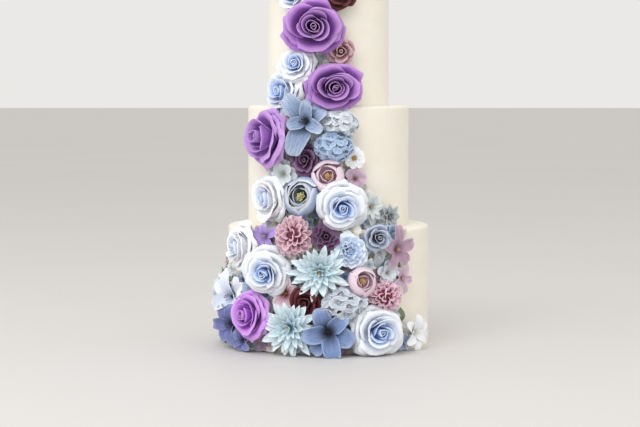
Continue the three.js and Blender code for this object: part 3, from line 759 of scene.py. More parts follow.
BOTTOM = Tier("bottom", 127.0, 0.0)
MIDDLE = Tier("middle", 101.6, 150.0)
TOP = Tier("top", 76.2, 300.0)
TIERS = (BOTTOM, MIDDLE, TOP)


@dataclass(frozen=True)
class Flower:
    """One flower of the cascade, placed as its CAD node is."""

    node: str
    kind: Kind
    finish: str
    tier: Tier
    az: float  # degrees round the cake from the front towards +X
    z: float
    size: float  # radius of the outer petals
    lift: float  # of their plane off the tier's wall
    yaw: float = 0.0
    tilt: float = 0.0
    wide: float = 1.0
    turn: float = 0.0  # degrees the petals are turned about the flower's own middle
    heart: Heart | None = None

    def on_cake(self, extra: float, out: float, height: float) -> Array:
        """The point at an angle past the flower's own, a distance from the cake's axis and a height."""
        angle = math.radians(self.az + extra)
        return np.array([out * math.sin(angle), -out * math.cos(angle), height])

    @property
    def basis(self) -> Array:
        """The flower's right, up and forward directions, as rows."""
        upright = math.radians(self.tilt)
        right = self.on_cake(self.yaw + 90, 1, 0)
        forward = self.on_cake(self.yaw, math.cos(upright), math.sin(upright))
        return np.array([right, np.cross(forward, right), forward])

    @property
    def middle(self) -> Array:
        """The flower's middle, in metres."""
        return self.on_cake(0, self.tier.radius + self.lift, self.z) * MM

    @property
    def stem_end(self) -> Array:
        """Where its stem meets the icing, in metres."""
        if self.z > self.tier.top:
            return self.on_cake(0, self.tier.radius - PERCH_INSET, self.tier.top) * MM
        height = min(max(self.z, self.tier.base + WALL_MARGIN), self.tier.top - WALL_MARGIN)
        return self.on_cake(0, self.tier.radius, height) * MM

    def to_world(self, points: Array) -> Array:
        """Turns points in the flower's radii into places on the cake, in metres."""
        stretched = points * np.array([self.wide, 1 / self.wide, 1.0])
        return stretched * self.size * MM @ self.basis + self.middle

    def to_own(self, points: Array) -> Array:
        """Turns places on the cake into the flower's radii."""
        own = (points - self.middle) @ self.basis.T / (self.size * MM)
        return own * np.array([1 / self.wide, self.wide, 1.0])


WALL_MARGIN = 8.0  # between a tier's edges and where a flower sticks on its wall
PERCH_INSET = 18.0  # how far in from the rim a flower above it sticks
TABLE_CLEARANCE = 0.9  # no petal's middle plane reaches lower than this
ICING_CLEARANCE = 0.7  # nor nearer to the icing than this
BOX_MARGIN = 0.5  # nor nearer to the sides of the space that the whole cascade takes up

PEONY_HEART = Heart(0.1, "gold", 24, 0.2, 0.22, 0.036, "pearl", "gold", level=-0.1)
ANEMONE_HEART = Heart(0.12, "soot", 26, 0.22, 0.24, 0.036, "lime", "lime", level=-0.1)
DARK_HEART = Heart(0.11, "amber", 10, 0.15, 0.12, 0.028, "soot", "amber")
SOOT_HEART = Heart(0.09, "soot", 8, 0.13, 0.12, 0.026, "soot", "pearl")
DAISY_HEART = Heart(0.22, "amber", 22, 0.2, 0.12, 0.036, "gold", "gold")
THROAT = Heart(0.07, "soot", 5, 0.16, 0.16, 0.026, "soot", "soot", level=-0.22)
PALE_THROAT = Heart(0.07, "lime", 5, 0.14, 0.14, 0.026, "pearl", "lime", level=-0.2)
AMBER_EYE = Heart(0.04, "gold", 8, 0.06, 0.34, 0.02, "amber", "gold", level=0.1)
MINT_EYE = Heart(0.05, "lime", 8, 0.06, 0.32, 0.02, "pearl", "pearl", level=0.1)
PINK_EYE = Heart(0.07, "amber", 8, 0.1, 0.12, 0.022, "pearl", "gold")
BUD_EYE = Heart(0.06, "soot", 7, 0.06, 0.4, 0.03, "soot", "gold", level=0.2)

# Each tier's flowers: node, kind, finish, az, z, size, lift, yaw, tilt, wide, turn and heart.
FLOWER_ROWS = {
    TOP: (
        ("rose_violet_crown", K.ROSE, "violet", -12, 468, 34, -6, 0, 38, 1.1, 10),
        ("hydrangea_sky_crown", K.CLUSTER, "sky", -50, 456, 21, -6, 0, 40),
        ("hydrangea_white_crown", K.CLUSTER, "white_cluster", 30, 457, 19, -6, 0, 40),
        ("rose_ice_crown", K.GARDEN_ROSE, "ice", -27, 433, 21.5, 15, 5, 10, 1, 20),
        ("rose_dusk_crown", K.SMALL_ROSE, "dusk_deep", 9, 436, 21, 14, 0, 0, 1, 0, BUD_EYE),
        ("rose_violet_upper", K.ROSE, "violet", -10, 396, 36, 24, 8, 0, 1.1, 30),
        ("rose_dusk_upper", K.SMALL_ROSE, "dusk", 10, 367, 18.5, 14, -12, -4, 1, 40, BUD_EYE),
        ("rose_ice_upper", K.GARDEN_ROSE, "ice", -24, 350, 24, 20, 6, 15),
        ("rose_violet_middle", K.ROSE, "violet", 4, 322, 34.5, 26, 2, 0, 1.15, 60),
        ("rose_ice_turned", K.GARDEN_ROSE, "ice", -35, 317, 29.5, 20, -6, 8, 0.95, 15),
    ),
    MIDDLE: (
        ("lily_slate_upper", K.LILY, "slate", -13, 282, 36, 24, -4, 4, 1, 0, THROAT),
        ("rose_violet_left", K.ROSE, "violet_lit", -37, 262, 38, 22, -18, 4, 0.95),
        ("hydrangea_white_upper", K.CLUSTER, "white_cluster", 7, 278, 20, 12, 0, 0, 1.05),
        ("hydrangea_sky_upper", K.CLUSTER, "sky", 3, 251, 21, 14, 0, 0, 1.12),
        ("daisy_white", K.DAISY, "white", 16, 237, 14, 12, 0, 0, 1, 10, DAISY_HEART),
        ("cosmos_mauve_upper", K.BLOSSOM, "mauve_pale", 17, 212, 14, 10, 0, 0, 1, 20, DARK_HEART),
        ("rose_plum_upper", K.SMALL_ROSE, "plum", -14, 234, 19.5, 14, 0, 6, 0.9),
        ("peony_blush_upper", K.CUP, "blush", 0, 215, 21, 20, -12, 18, 1, 0, PEONY_HEART),
        ("gardenia_sage", K.DOUBLE, "sage", -29, 217, 20, 12, 10, 0, 1, 10, PALE_THROAT),
        ("rose_ice_midleft", K.ROSE, "ice_white", -37, 187, 29, 18, -14, 0, 0.95, 30),
        ("anemone_slate", K.ANEMONE, "slate_cup", -15, 190, 24.5, 24, -5, 18, 0.95, 40, ANEMONE_HEART),
        ("rose_ice_center", K.GARDEN_ROSE, "ice", 7, 179, 32, 30, 2, -8, 1.03),
        ("cosmos_sage", K.STAR, "sage", 27, 177, 18.5, 12, 0, 0, 0.9, 0, PINK_EYE),
        ("cosmos_grey", K.STAR, "grey", 42, 164, 16.5, 10, 0, 0, 1, 0, SOOT_HEART),
    ),
    BOTTOM: (
        ("cosmos_violet", K.COSMOS, "lilac", -35, 142, 19, 8, 0, 0, 1, 0, PALE_THROAT),
        ("mum_rose_left", K.POMPOM, "rosewood", -17, 144, 23.5, 16, 0, 0, 0.94),
        ("dahlia_plum", K.ROSETTE, "plum", -1, 145, 19, 16),
        ("blossom_cream", K.BLOSSOM, "cream", 12, 149, 11, 10, 0, 0, 1, 0, PINK_EYE),
        ("rose_slate_small", K.SMALL_ROSE, "slate_rose", 24, 142, 17.5, 18, 0, 0, 1.06),
        ("carnation_sky", K.RUFFLE, "sky_ruffle", 10, 127, 21, 16),
        ("rose_ice_farleft", K.GARDEN_ROSE, "ice_white", -50, 127, 30.5, 12, -12, 0, 0.95),
        ("cosmos_mauve_right", K.COSMOS, "mauve", 38, 126, 25.5, 10, 4, 0, 1, 0, PINK_EYE),
        ("leaf_sage", K.LEAF, "sage_leaf", 27, 113, 10, 6),
        ("blossom_white_middle", K.BLOSSOM, "white", -20, 118, 10, 12, 0, 0, 1, 0, PALE_THROAT),
        ("dahlia_mint_upper", K.DAHLIA, "mint", -4, 102, 33, 22, 0, 0, 1.06, 0, AMBER_EYE),
        ("rose_ice_lowleft", K.GARDEN_ROSE, "ice", -30, 100, 30.5, 24, 14, -6, 1, 20),
        ("blossom_white_right", K.DOUBLE, "white_cluster", 32, 98, 15, 8, 0, 0, 1, 0, PINK_EYE),
        ("peony_blush_lower", K.CUP, "blush", 16, 90, 20, 20, 8, 12, 1, 20, PEONY_HEART),
        ("cosmos_pale_right", K.COSMOS, "mauve_pale", 42, 90, 16.5, 8, 6, 0, 1, 30, PINK_EYE),
        ("cosmos_wine", K.BLOSSOM, "wine_fade", -22, 74, 20, 12, 0, 0, 1, 0, DARK_HEART),
        ("blossom_lavender", K.BLOSSOM, "periwinkle", -44, 76, 13, 12, 0, 0, 1, 0, PALE_THROAT),
        ("blossom_white_left", K.BLOSSOM, "white", -53, 76, 13, 14, 12, 0, 1, 0, PALE_THROAT),
        ("mum_rose_right", K.POMPOM, "rosewood", 28, 70, 21, 16, 0, 0, 1.04),
        ("rose_wine", K.SMALL_ROSE, "wine", -11, 64, 21.5, 18, 0, 0, 0.92),
        ("lily_slate_left_high", K.LILY, "slate_pale", -60, 64, 30, 16, 14, 0, 1, 0, THROAT),
        ("hydrangea_white_lower", K.CLUSTER, "white_shaded", 7, 62, 24.5, 16, 0, 0, 1.14),
        ("rose_magenta", K.ROSE, "magenta", -39, 47, 30, 24, -4, 6, 0.96),
        ("dahlia_mint_lower", K.DAHLIA, "mint", -18, 34, 34, 24, 0, 0, 0.98, 0, MINT_EYE),
        ("lily_slate_left_low", K.LILY, "slate_violet", -58, 30, 27, 18, 10, 0, 1, 30, THROAT),
        ("lily_slate_lower", K.LILY, "slate_deep", 0, 30, 35, 28, 0, 0, 1, 0, THROAT),
        ("rose_ice_lower", K.GARDEN_ROSE, "ice", 23, 29, 35, 26, 0, 0, 1.06),
        ("lily_white_foot", K.LILY, "white", 50, 22, 22, 15, 0, 0, 1, 0, PALE_THROAT),
        ("lily_slate_foot", K.LILY, "slate_violet", -46, 14, 17, 20, 0, 0, 1, 0, THROAT),
        ("rose_ice_side", K.GARDEN_ROSE, "ice", -98, 66, 23, 10),
        ("cosmos_mauve_side", K.BLOSSOM, "mauve", -112, 92, 18, 8, 0, 0, 1, 0, PINK_EYE),
        ("blossom_white_side", K.BLOSSOM, "white", -81, 52, 14, 10, 0, 0, 1, 0, PALE_THROAT),
        ("cosmos_lilac_side", K.BLOSSOM, "lilac", -86, 24, 18, 10, 0, 0, 1, 0, DARK_HEART),
    ),
}
FLOWERS = tuple(
    Flower(node, kind, finish, tier, *rest)
    for tier, rows in FLOWER_ROWS.items()
    for node, kind, finish, *rest in rows
)

# The petals of the lilies that open unevenly: each one's direction in degrees anticlockwise from straight
# down, and its length as a share of the flower's radius.
SPREADS = {
    "lily_slate_upper": ((63, 0.75), (121, 0.92), (172, 0.7), (220, 1.05), (285, 0.64), (338, 1.25)),
    "lily_slate_lower": ((11, 1.06), (72, 1.03), (133, 0.86), (205, 1.0), (280, 0.94), (325, 0.86)),
}

# The share of a flower's radius within which its neighbours' petals slide behind it. Others have 1.
TUCKING = {
    Kind.LILY: 0.62, Kind.BLOSSOM: 0.8, Kind.COSMOS: 0.7, Kind.STAR: 0.85, Kind.DAISY: 0.85, Kind.LEAF: 0.3,
    Kind.DAHLIA: 0.92
}

# The radius of the paste that backs a flower, as a share of its own radius.
BACKINGS = {
    Kind.DAHLIA: 0.34, Kind.ROSETTE: 0.4, Kind.LILY: 0.15, Kind.BLOSSOM: 0.16, Kind.COSMOS: 0.16,
    Kind.DOUBLE: 0.26, Kind.STAR: 0.16, Kind.DAISY: 0.22, Kind.LEAF: 0.08
}
FULL_BACKING = 0.5  # of the other kinds
STEM_FOOT = 0.16  # a stem's radius on the icing, as a share of its flower's


@dataclass(frozen=True)
class Cover:
    """What stands all over a ball-shaped flower. Its size is a share of the flower's radius."""

    count: int
    form: Petal
    parts: int  # petals in each floret
    size: float
    cells: tuple[int, int]
    spin: float  # how far each turns at random, in radians
    sunk: float  # how deep its foot sits, in its own sizes
    lean: float  # how far each leans from straight out at random
    core: str  # the finish of the ball that shows between them, dark as painted shade in the gaps
    core_size: float
    eye: float = 0.0  # radius of the bead in its middle, in its own sizes
    eye_finish: str = "pearl"


COVERS = {
    Kind.CLUSTER: Cover(22, FLORET_PETAL, 4, 0.42, (6, 5), math.pi, 0.26, 0.22, "shade", 0.8, 0.09),
    Kind.POMPOM: Cover(54, CURL_PETAL, 1, 0.3, (8, 7), 1.1, 0.66, 0.2, "painted_shade_rose", 0.72),
}
GOLDEN_ANGLE = math.pi * (3 - math.sqrt(5))
BALL_HEIGHT = 0.86
BALL_SPAN = 1.04  # how far down the ball its cover reaches, where 1 is to its widest
COVER_UNEVEN = 0.12
EYE_SEGMENTS = 8
LEAF_CELLS = (8, 12)


@dataclass
class Workshop:
    """Makes petals, hearts and domes in a flower's own frame, in its radii."""

    palette: Palette
    blanks: dict[tuple, Piece] = field(default_factory=dict)

    def blank(self, cells: tuple[int, int]) -> Piece:
        """A flat grid of that many cells across and along, made once, with what every petal carries."""
        if cells not in self.blanks:
            deselect_all()
            bpy.ops.mesh.primitive_grid_add(
                x_subdivisions=cells[0], y_subdivisions=cells[1], size=2, calc_uvs=True)
            blank = bpy.context.object
            for name in PETAL_VALUES:
                blank.data.attributes.new(name, "FLOAT", "POINT")
            self.blanks[cells] = blank
        return self.blanks[cells]

    def petal(
        self, form: Petal, cells: tuple[int, int], whorl: float, matrix: Array, draw: Draw, uneven: float,
        key: str
    ) -> Piece:
        """One petal as an open sheet.

        Args:
            form: The petal's form.
            cells: The blank's cells across and along.
            whorl: Its place from the middle of the flower out, 0 to 1.
            matrix: 3 by 4, from the petal's frame to the flower's.
            draw: The source of random numbers.
            uneven: How much petals differ.
            key: The finish.

        Returns:
            The petal's object.
        """
        blank = self.blank(cells)
        flat = points_of(blank)
        across, along = flat[:, 0], (flat[:, 1] + 1) / 2
        points, spread = form.bent(across, along, draw, uneven)
        mesh = blank.data.copy()
        mesh.materials.append(self.palette.get(key))
        piece = linked("petal", mesh)
        set_points(piece, points @ matrix[:, :3].T + matrix[:, 3])
        tone = draw.uniform(0, 1)
        # past its foot, a petal's sides take its rim's colour, partly paler paste and partly painted
        # highlight, and none of the painted shade of its foot
        edge = along + (1 - along) * np.abs(across) ** 8 * smooth(0.25, 0.6, along)
        ones = np.ones(len(flat))
        for name, values in zip(PETAL_VALUES, (ones * whorl, edge, ones * tone)):
            mesh.attributes[name].data.foreach_set("value", values.astype(np.float32))
        corners = np.empty(len(mesh.loops), np.int32)
        mesh.loops.foreach_get("vertex_index", corners)
        spread = spread * np.linalg.norm(matrix[:, 0])
        mesh.uv_layers[0].data.foreach_set("uv", spread[corners].astype(np.float32).ravel())
        return piece

    def whorls(self, bloom: Bloom, flower: Flower, draw: Draw) -> list[Piece]:
        """Every petal of a flower that is built of whorls."""
        places = []
        whorls = bloom.whorls
        for index, (direction, reach) in enumerate(SPREADS.get(flower.node, ())):
            places.append((whorls[index % len(whorls)], math.pi - math.radians(direction), reach))
        for ring in () if places else whorls:
            for index in range(ring.count):
                turn = math.radians(flower.turn) + 2 * math.pi * (index + ring.phase) / ring.count
                turn += draw.uniform(-1, 1) * bloom.uneven * math.pi / ring.count
                places.append((ring, turn, 1 - bloom.spiral * (1 - index / ring.count)))
        petals = []
        for ring, turn, grown in places:
            matrix = np.zeros((3, 4))
            matrix[:, :3] = np.array(Matrix.Rotation(-turn, 3, "Z")) * grown
            look = (matrix, draw, bloom.uneven, flower.finish)
            petals.append(self.petal(ring.petal, ring.cells, ring.whorl, *look))
        return petals

    def ball(self, flower: Flower, cover: Cover, draw: Draw) -> list[Piece]:
        """Petals or florets spread evenly over a low dome.

        Args:
            flower: The flower.
            cover: What stands on the dome.
            draw: The source of random numbers.

        Returns:
            The petals' objects.
        """
        petals = []
        for index in range(cover.count):
            high = 1 - BALL_SPAN * (index + 0.5) / cover.count
            swing = GOLDEN_ANGLE * index + draw.uniform(-0.1, 0.1)
            low = math.sqrt(max(0.0, 1 - high * high))
            facing = Vector((low * math.cos(swing), low * math.sin(swing), high))
            leaning = facing + Vector(draw.uniform(-cover.lean, cover.lean, 3))
            turned = np.array(leaning.to_track_quat("Z", "Y").to_matrix())
            place = np.array(facing) * (1 - cover.size * cover.sunk) * np.array([1, 1, BALL_HEIGHT])
            spin = math.pi + draw.uniform(-1, 1) * cover.spin
            grown = cover.size * draw.uniform(0.86, 1.12)
            for part in range(cover.parts):
                matrix = np.zeros((3, 4))
                around = np.array(Matrix.Rotation(spin + 2 * math.pi * part / cover.parts, 3, "Z"))
                matrix[:, :3] = turned @ around * grown
                matrix[:, 3] = place
                look = (0.3 + 0.7 * low, matrix, draw, COVER_UNEVEN, flower.finish)
                petals.append(self.petal(cover.form, cover.cells, *look))
            if cover.eye:
                eye = self.dome(cover.size * cover.eye, 1.0, 0.0, cover.eye_finish, EYE_SEGMENTS)
                set_points(eye, points_of(eye) + place)
                petals.append(eye)
        return petals

    def dome(self, radius: float, flatness: float, level: float, key: str, segments: int = 20) -> Piece:
        """A round mound.

        Args:
            radius: Its radius.
            flatness: Its height as a share of its radius.
            level: The height of its middle.
            key: Its finish.
            segments: How many it has round.

        Returns:
            The mound's object.
        """
        deselect_all()
        bpy.ops.mesh.primitive_uv_sphere_add(segments=segments, ring_count=segments // 2 + 2, radius=radius)
        piece = bpy.context.object
        points = points_of(piece) * np.array([1, 1, flatness]) + np.array([0, 0, level])
        set_points(piece, points)
        piece.data.materials.append(self.palette.get(key))
        return piece

    def heart(self, heart: Heart, draw: Draw) -> list[Piece]:
        """A flower's dome and its stamens."""
        parts = [self.dome(heart.dome, 0.7, heart.level, heart.dome_finish)]
        for index in range(heart.stamens):
            share = math.sqrt((index + 0.5) / heart.stamens)
            swing = GOLDEN_ANGLE * index
            out = heart.reach * share * draw.uniform(0.85, 1.15)
            foot = Vector((0.4 * out * math.cos(swing), 0.4 * out * math.sin(swing), heart.level))
            height = heart.height * draw.uniform(0.8, 1.15) * (1.1 - 0.5 * share)
            end = Vector((out * math.cos(swing), out * math.sin(swing), height))
            parts.append(self.stamen(foot, end, heart))
        return parts

    def stamen(self, foot: Vector, end: Vector, heart: Heart) -> Piece:
        """A thread with a bead on its end.

        Args:
            foot: Where it starts.
            end: Where its bead is.
            heart: Its sizes and finishes.

        Returns:
            Its object.
        """
        key = ("stamen", heart.tip, heart.thread_finish, heart.tip_finish)
        if key not in self.blanks:
            deselect_all()
            bpy.ops.mesh.primitive_cylinder_add(
                vertices=6, radius=heart.tip * 0.32, depth=1, location=(0, 0, 0.5))
            thread = bpy.context.object
            bpy.ops.object.transform_apply(location=True, rotation=True, scale=True)
            thread.data.materials.append(self.palette.get(heart.thread_finish))
            deselect_all()
            bpy.ops.mesh.primitive_ico_sphere_add(subdivisions=2, radius=heart.tip, location=(0, 0, 1))
            bead = bpy.context.object
            bpy.ops.object.transform_apply(location=True, rotation=True, scale=True)
            bead.data.materials.append(self.palette.get(heart.tip_finish))
            self.blanks[key] = joined([thread, bead], "stamen_blank")
        blank = self.blanks[key]
        axis = end - foot
        turned = np.array(axis.to_track_quat("Z", "Y").to_matrix())
        points = points_of(blank)
        bead_side = points[:, 2] > 0.9
        points[bead_side, 2] += axis.length - 1
        points[~bead_side, 2] *= axis.length
        piece = linked("stamen", blank.data.copy())
        set_points(piece, points @ turned.T + np.array(foot))
        return piece

    def clear(self) -> None:
        """Removes the blanks."""
        for blank in self.blanks.values():
            bpy.data.objects.remove(blank)
        self.blanks.clear()


@dataclass
class Cascade:
    """The flowers on the cake, each kept behind the prouder ones next to it."""

    flowers: Sequence[Flower]
    workshop: Workshop

    def build(self) -> None:
        """Builds every flower, and then the small ones that fill the gaps."""
        for seed, flower in enumerate(self.flowers, start=1):
            piece = self.grow(flower, seed, self.prouder(flower))
            piece.name = f"sugar_{flower.node}"
            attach(piece, BODY)
            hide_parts(flower.node)
            LOG.info("%s: %d faces", piece.name, len(piece.data.polygons))
        fillers = self.fillers()
        for finish in FILLER_FINISHES:
            small = [filler for filler in fillers if filler.finish == finish]
            parts = [self.grow(filler, seed, self.near(filler)) for seed, filler in enumerate(small, start=1)]
            piece = joined(parts, f"sugar_florets_{finish}")
            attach(piece, BODY)
            LOG.info("%s: %d florets, %d faces", piece.name, len(small), len(piece.data.polygons))

    def grow(self, flower: Flower, seed: int, prouder: Iterable[Flower]) -> Piece:
        """Builds one flower at its place.

        Args:
            flower: The flower.
            seed: The seed of its random numbers.
            prouder: The flowers in front of it.

        Returns:
            The flower's object.
        """
        draw = np.random.default_rng(seed)
        shop = self.workshop
        bloom = BLOOMS.get(flower.kind, BLOSSOM)
        cover = COVERS.get(flower.kind)
        if cover:
            petals = shop.ball(flower, cover, draw)
        elif flower.kind is Kind.LEAF:
            matrix = np.hstack([np.eye(3), np.array([[0], [-1.0], [0]])]) * np.array([2, 2, 2, 1])
            petals = [shop.petal(LEAF_FORM, LEAF_CELLS, 1.0, matrix, draw, 0.0, flower.finish)]
        else:
            petals = shop.whorls(bloom, flower, draw)
        sheet = joined(petals, "petals")
        self.stretch_uv(sheet, flower.size)
        points = flower.to_world(points_of(sheet))
        for other in prouder:
            points = self.tucked(points, other)
        set_points(sheet, self.clear_of_icing(points))
        apply_modifier(sheet, "SOLIDIFY", thickness=bloom.thickness * MM, offset=0.0)
        bpy.ops.object.shade_smooth_by_angle(angle=math.radians(50))
        # a ball-shaped flower's core: a dark ball of painted shade, seen in the gaps between the florets and
        # petals on it
        solid = [shop.dome(cover.core_size, BALL_HEIGHT, 0.0, cover.core)] if cover else []
        if flower.heart:
            solid += shop.heart(flower.heart, draw)
        for part in solid:
            set_points(part, flower.to_world(points_of(part)))
            make_active(part)
            bpy.ops.object.shade_smooth()
        return joined([sheet, self.stem(flower, bloom.back)] + solid, "flower")

    @staticmethod
    def stretch_uv(piece: Piece, scale: float) -> None:
        """Turns a UV map from flower radii into millimetres, so that pressed veins keep their spacing."""
        layer = piece.data.uv_layers[0].data
        flat = np.empty(len(layer) * 2, np.float32)
        layer.foreach_get("uv", flat)
        layer.foreach_set("uv", flat * np.float32(scale))

    def fillers(self) -> list[Flower]:
        """The small flowers and leaves on the icing between the larger flowers."""
        draw = np.random.default_rng(FILL_SEED)
        found = []
        for tier in TIERS:
            for z in np.arange(tier.base + FILL_EDGE, tier.top, FILL_PITCH):
                left, right = np.interp(z, SPREAD_AT, SPREAD_LEFT), np.interp(z, SPREAD_AT, SPREAD_RIGHT)
                for az in np.arange(TAIL_END, right, math.degrees(FILL_PITCH / tier.radius)):
                    filler = self.filler(tier, az, z, draw)
                    hidden = any(self.hides(other, filler) for other in self.flowers)
                    if not hidden and (az > left or self.in_tail(filler)):
                        found.append(filler)
        return found

    def in_tail(self, filler: Flower) -> bool:
        """Whether a filler stands close to one of the flowers round the cake's left side."""
        for other in self.flowers:
            apart = np.linalg.norm(other.middle - filler.middle) / MM - other.size
            if other.az < TAIL_START and filler.az < TAIL_START and apart < TAIL_FRINGE:
                return True
        return False

    @staticmethod
    def filler(tier: Tier, az: float, z: float, draw: Draw) -> Flower:
        """A small flower near a place on the wall."""
        finish = str(draw.choice(FILLER_FINISHES, p=FILLER_SHARES))
        kind = Kind.LEAF if finish == "leaf" else Kind.BLOSSOM
        az, z = az + draw.uniform(-2, 2), min(z + draw.uniform(-3, 3), tier.top - FILL_EDGE / 2)
        size, lift = draw.uniform(8, 11), draw.uniform(4, 6)
        yaw, tilt, turn = draw.uniform(-20, 20), draw.uniform(-20, 20), draw.uniform(0, 360)
        return Flower("", kind, finish, tier, az, z, size, lift, yaw, tilt, 1.0, turn)

    @staticmethod
    def hides(other: Flower, filler: Flower) -> bool:
        """Whether a filler would be wholly behind a larger flower."""
        away = (filler.middle - other.middle) @ other.basis.T / MM
        return math.hypot(away[0], away[1]) < HIDDEN_WITHIN * other.size

    @staticmethod
    def close(one: Flower, other: Flower, share: float) -> bool:
        """Whether two flowers are nearer to each other than a share of their radii together."""
        return np.linalg.norm(other.middle - one.middle) < share * (other.size + one.size) * MM

    def near(self, filler: Flower) -> Iterable[Flower]:
        """The larger flowers next to a filler."""
        return (other for other in self.flowers if self.close(filler, other, FILLER_NEXT_TO))

    def prouder(self, flower: Flower) -> Iterable[Flower]:
        """The flowers next to this one that stand prouder of the icing."""
        own = self.flowers.index(flower)
        for index, other in enumerate(self.flowers):
            near = self.close(flower, other, NEXT_TO)
            if index != own and near and (other.lift, -index) > (flower.lift, -own):
                yield other

    @staticmethod
    def tucked(points: Array, other: Flower) -> Array:
        """Slides the places that lie inside a prouder flower behind that flower's petals."""
        own = other.to_own(points)
        out = np.hypot(own[:, 0], own[:, 1]) / TUCKING.get(other.kind, 1.0)
        covered = 1 - smooth(0.86, 1.08, out)
        level = -0.36 + 0.3 * np.clip(out, 0, 1.1) ** 2
        own[:, 2] -= covered * np.maximum(0, own[:, 2] - level)
        return other.to_world(own)

    @staticmethod
    def clear_of_icing(points: Array) -> Array:
        """Presses petals flat where they would enter the icing or the table.

        Args:
            points: Places on the cake.

        Returns:
            The places, all clear.
        """
        moved = points.copy()
        moved[:, 2] = np.maximum(moved[:, 2], TABLE_CLEARANCE * MM)
        for tier in TIERS:
            out = np.hypot(moved[:, 0], moved[:, 1])
            deep = (tier.radius + ICING_CLEARANCE) * MM - out
            under = (tier.top + ICING_CLEARANCE) * MM - moved[:, 2]
            inside = (deep > 0) & (under > 0) & (moved[:, 2] > tier.base * MM)
            upward = inside & (under < deep)
            outward = inside & ~upward
            moved[upward, 2] = (tier.top + ICING_CLEARANCE) * MM
            moved[outward, :2] *= ((tier.radius + ICING_CLEARANCE) * MM / out[outward])[:, None]
        low, high = np.array(CAD_BOX)
        return np.clip(moved, low + BOX_MARGIN * MM, high - BOX_MARGIN * MM)

    def stem(self, flower: Flower, back: float) -> Piece:
        """The cone of paste that backs a flower and narrows to where it sticks on the icing.

        Args:
            flower: The flower.
            back: The height of its back, in its radii.

        Returns:
            The cone's object, with the petals' own finish, which paints it mostly in their painted shade
            colour.
        """
        start = Vector(flower.to_world(np.array([[0, 0, back + BACKING_DEPTH]]))[0])
        end = Vector(flower.stem_end)
        depth = (end - start).length
        shares = (BACKINGS.get(flower.kind, FULL_BACKING), STEM_FOOT)
        wide, narrow = (share * flower.size * MM for share in shares)
        deselect_all()
        bpy.ops.mesh.primitive_cone_add(
            vertices=CONE_SIDES, radius1=max(wide, narrow), radius2=narrow, depth=depth)
        piece = bpy.context.object
        bpy.ops.object.mode_set(mode="EDIT")
        for share in CONE_CUTS:
            bpy.ops.mesh.select_all(action="SELECT")
            bpy.ops.mesh.bisect(plane_co=(0, 0, (share - 0.5) * depth), plane_no=(0, 0, 1))
        bpy.ops.object.mode_set(mode="OBJECT")
        points = points_of(piece)
        share = points[:, 2] / depth + 0.5
        points[:, :2] *= (1 - CONE_WAIST * np.sin(math.pi * share))[:, None]
        turned = np.array((end - start).to_track_quat("Z", "Y").to_matrix())
        set_points(piece, points @ turned.T + np.array((start + end) / 2))
        bpy.ops.object.shade_smooth_by_angle(angle=math.radians(40))
        # the cone carries no petal values, so a petal finish paints it in its painted shade colour, as shade
        # behind the petals; a leaf's cone is pale stem
        finish = "stem" if flower.kind is Kind.LEAF else flower.finish
        piece.data.materials.append(self.workshop.palette.get(finish))
        return piece


NEXT_TO = 1.05  # flowers closer than this share of their radii together press on each other
FILLER_NEXT_TO = 1.2
BACKING_DEPTH = 0.04  # how far the cone reaches into the petals, in flower radii
CONE_SIDES = 24
CONE_CUTS = (0.25, 0.5, 0.75)
CONE_WAIST = 0.2  # how much the cone draws in at its middle
FILL_SEED = 57
FILL_PITCH = 12.5  # between fillers
FILL_EDGE = 9.0  # from a tier's edges to the first filler
HIDDEN_WITHIN = 0.55  # of a larger flower's radius
FILLER_FINISHES = ("white_cluster", "sky", "cream", "mauve", "leaf")
FILLER_SHARES = (0.36, 0.24, 0.13, 0.12, 0.15)
SPREAD_AT = (0, 40, 60, 100, 150, 180, 200, 250, 300, 320, 360, 400, 450)  # heights
SPREAD_LEFT = (-54, -62, -62, -52, -52, -40, -38, -44, -36, -38, -26, -22, -36)  # the cascade's edges there
SPREAD_RIGHT = (52, 48, 36, 42, 44, 38, 20, 14, 12, 12, 10, 6, 18)
TAIL_START = -57.0  # degrees round to the flowers that trail off round the left side
TAIL_END = -126.0  # and to the last of them
TAIL_FRINGE = 9.0  # how far from their petals a filler may stand there


# ---- The studio ----


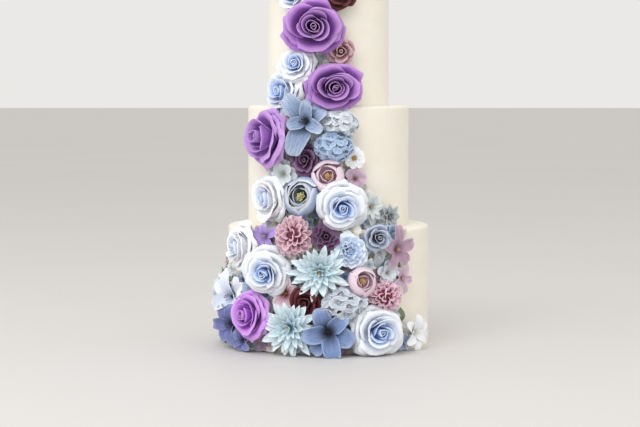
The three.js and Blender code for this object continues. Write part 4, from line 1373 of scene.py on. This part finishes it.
@dataclass(frozen=True)
class Studio:
    """The camera, the lights and the floor. Lengths are metres."""

    camera_out: float = 2.370
    camera_height: float = 0.320
    camera_down: float = 3.80  # degrees
    camera_left: float = 0.258
    lens: float = 105.0
    floor_size: float = 60.0

    def build(self) -> None:
        """Sets up the whole studio."""
        self.place_camera()
        self.lay_floor()
        self.hang_lights()

    def place_camera(self) -> None:
        """Puts the camera in front of the cake."""
        data = bpy.data.cameras.new("camera")
        data.lens = self.lens
        data.sensor_width = 36.0
        data.clip_end = 100.0
        camera = linked("camera", data)
        camera.location = (0, -self.camera_out, self.camera_height)
        camera.rotation_euler = (math.radians(90 - self.camera_down), 0, math.radians(self.camera_left))
        bpy.context.scene.camera = camera

    def lay_floor(self) -> None:
        """Lays a pale matte floor."""
        deselect_all()
        bpy.ops.mesh.primitive_plane_add(size=self.floor_size)
        floor = bpy.context.object
        floor.name = "floor"
        g = Graph("floor_pale_plaster")
        cloud = g.noise(g.add("TexCoord").outputs["Object"], 1.5, 3.0)
        colour = g.blend(cloud, linear("#d2cfcb"), linear("#d9d6d3"))
        g.feed(g.shader, {"Base Color": colour, "Roughness": 0.6})
        floor.data.materials.append(g.material)

    def hang_lights(self) -> None:
        """Hangs large soft lights, the cool one as from a window on the left, and an even pale surround."""
        self.softbox("key", (-0.9, -2.2, 2.3), 2.2, 50.0, "#f9fbff")
        self.softbox("fill", (2.0, -1.8, 1.1), 2.4, 9.0, "#f9fbff")
        self.softbox("window", (-2.3, -1.1, 0.9), 1.8, 7.0, "#e8f1ff")
        world = bpy.data.worlds.new("surround")
        world.use_nodes = True
        world.node_tree.nodes["Background"].inputs["Color"].default_value = linear("#ebe9e7")
        world.node_tree.nodes["Background"].inputs["Strength"].default_value = 1.0
        bpy.context.scene.world = world
        bpy.context.scene.view_settings.view_transform = "Standard"

    @staticmethod
    def softbox(name: str, place: tuple[float, float, float], size: float, power: float, tint: str) -> None:
        """Hangs a square soft light that faces the cake.

        Args:
            name: The light's name.
            place: Where it hangs.
            size: The length of its side.
            power: Watts.
            tint: Its hex colour.
        """
        data = bpy.data.lights.new(name, "AREA")
        data.size = size
        data.energy = power
        data.color = linear(tint)[:3]
        light = linked(name, data)
        light.location = place
        aim = Vector((0, 0, 0.25)) - Vector(place)
        light.rotation_euler = aim.to_track_quat("-Z", "Y").to_euler()


def main() -> None:
    """Builds the studio, the tiers and the cascade."""
    Studio().build()
    palette = Palette()
    for tier in TIERS:
        LOG.info("%s", tier.build(palette).name)
    workshop = Workshop(palette)
    Cascade(FLOWERS, workshop).build()
    workshop.clear()


if __name__ == "__main__":
    logging.basicConfig(level=logging.INFO, format="%(message)s")
    main()
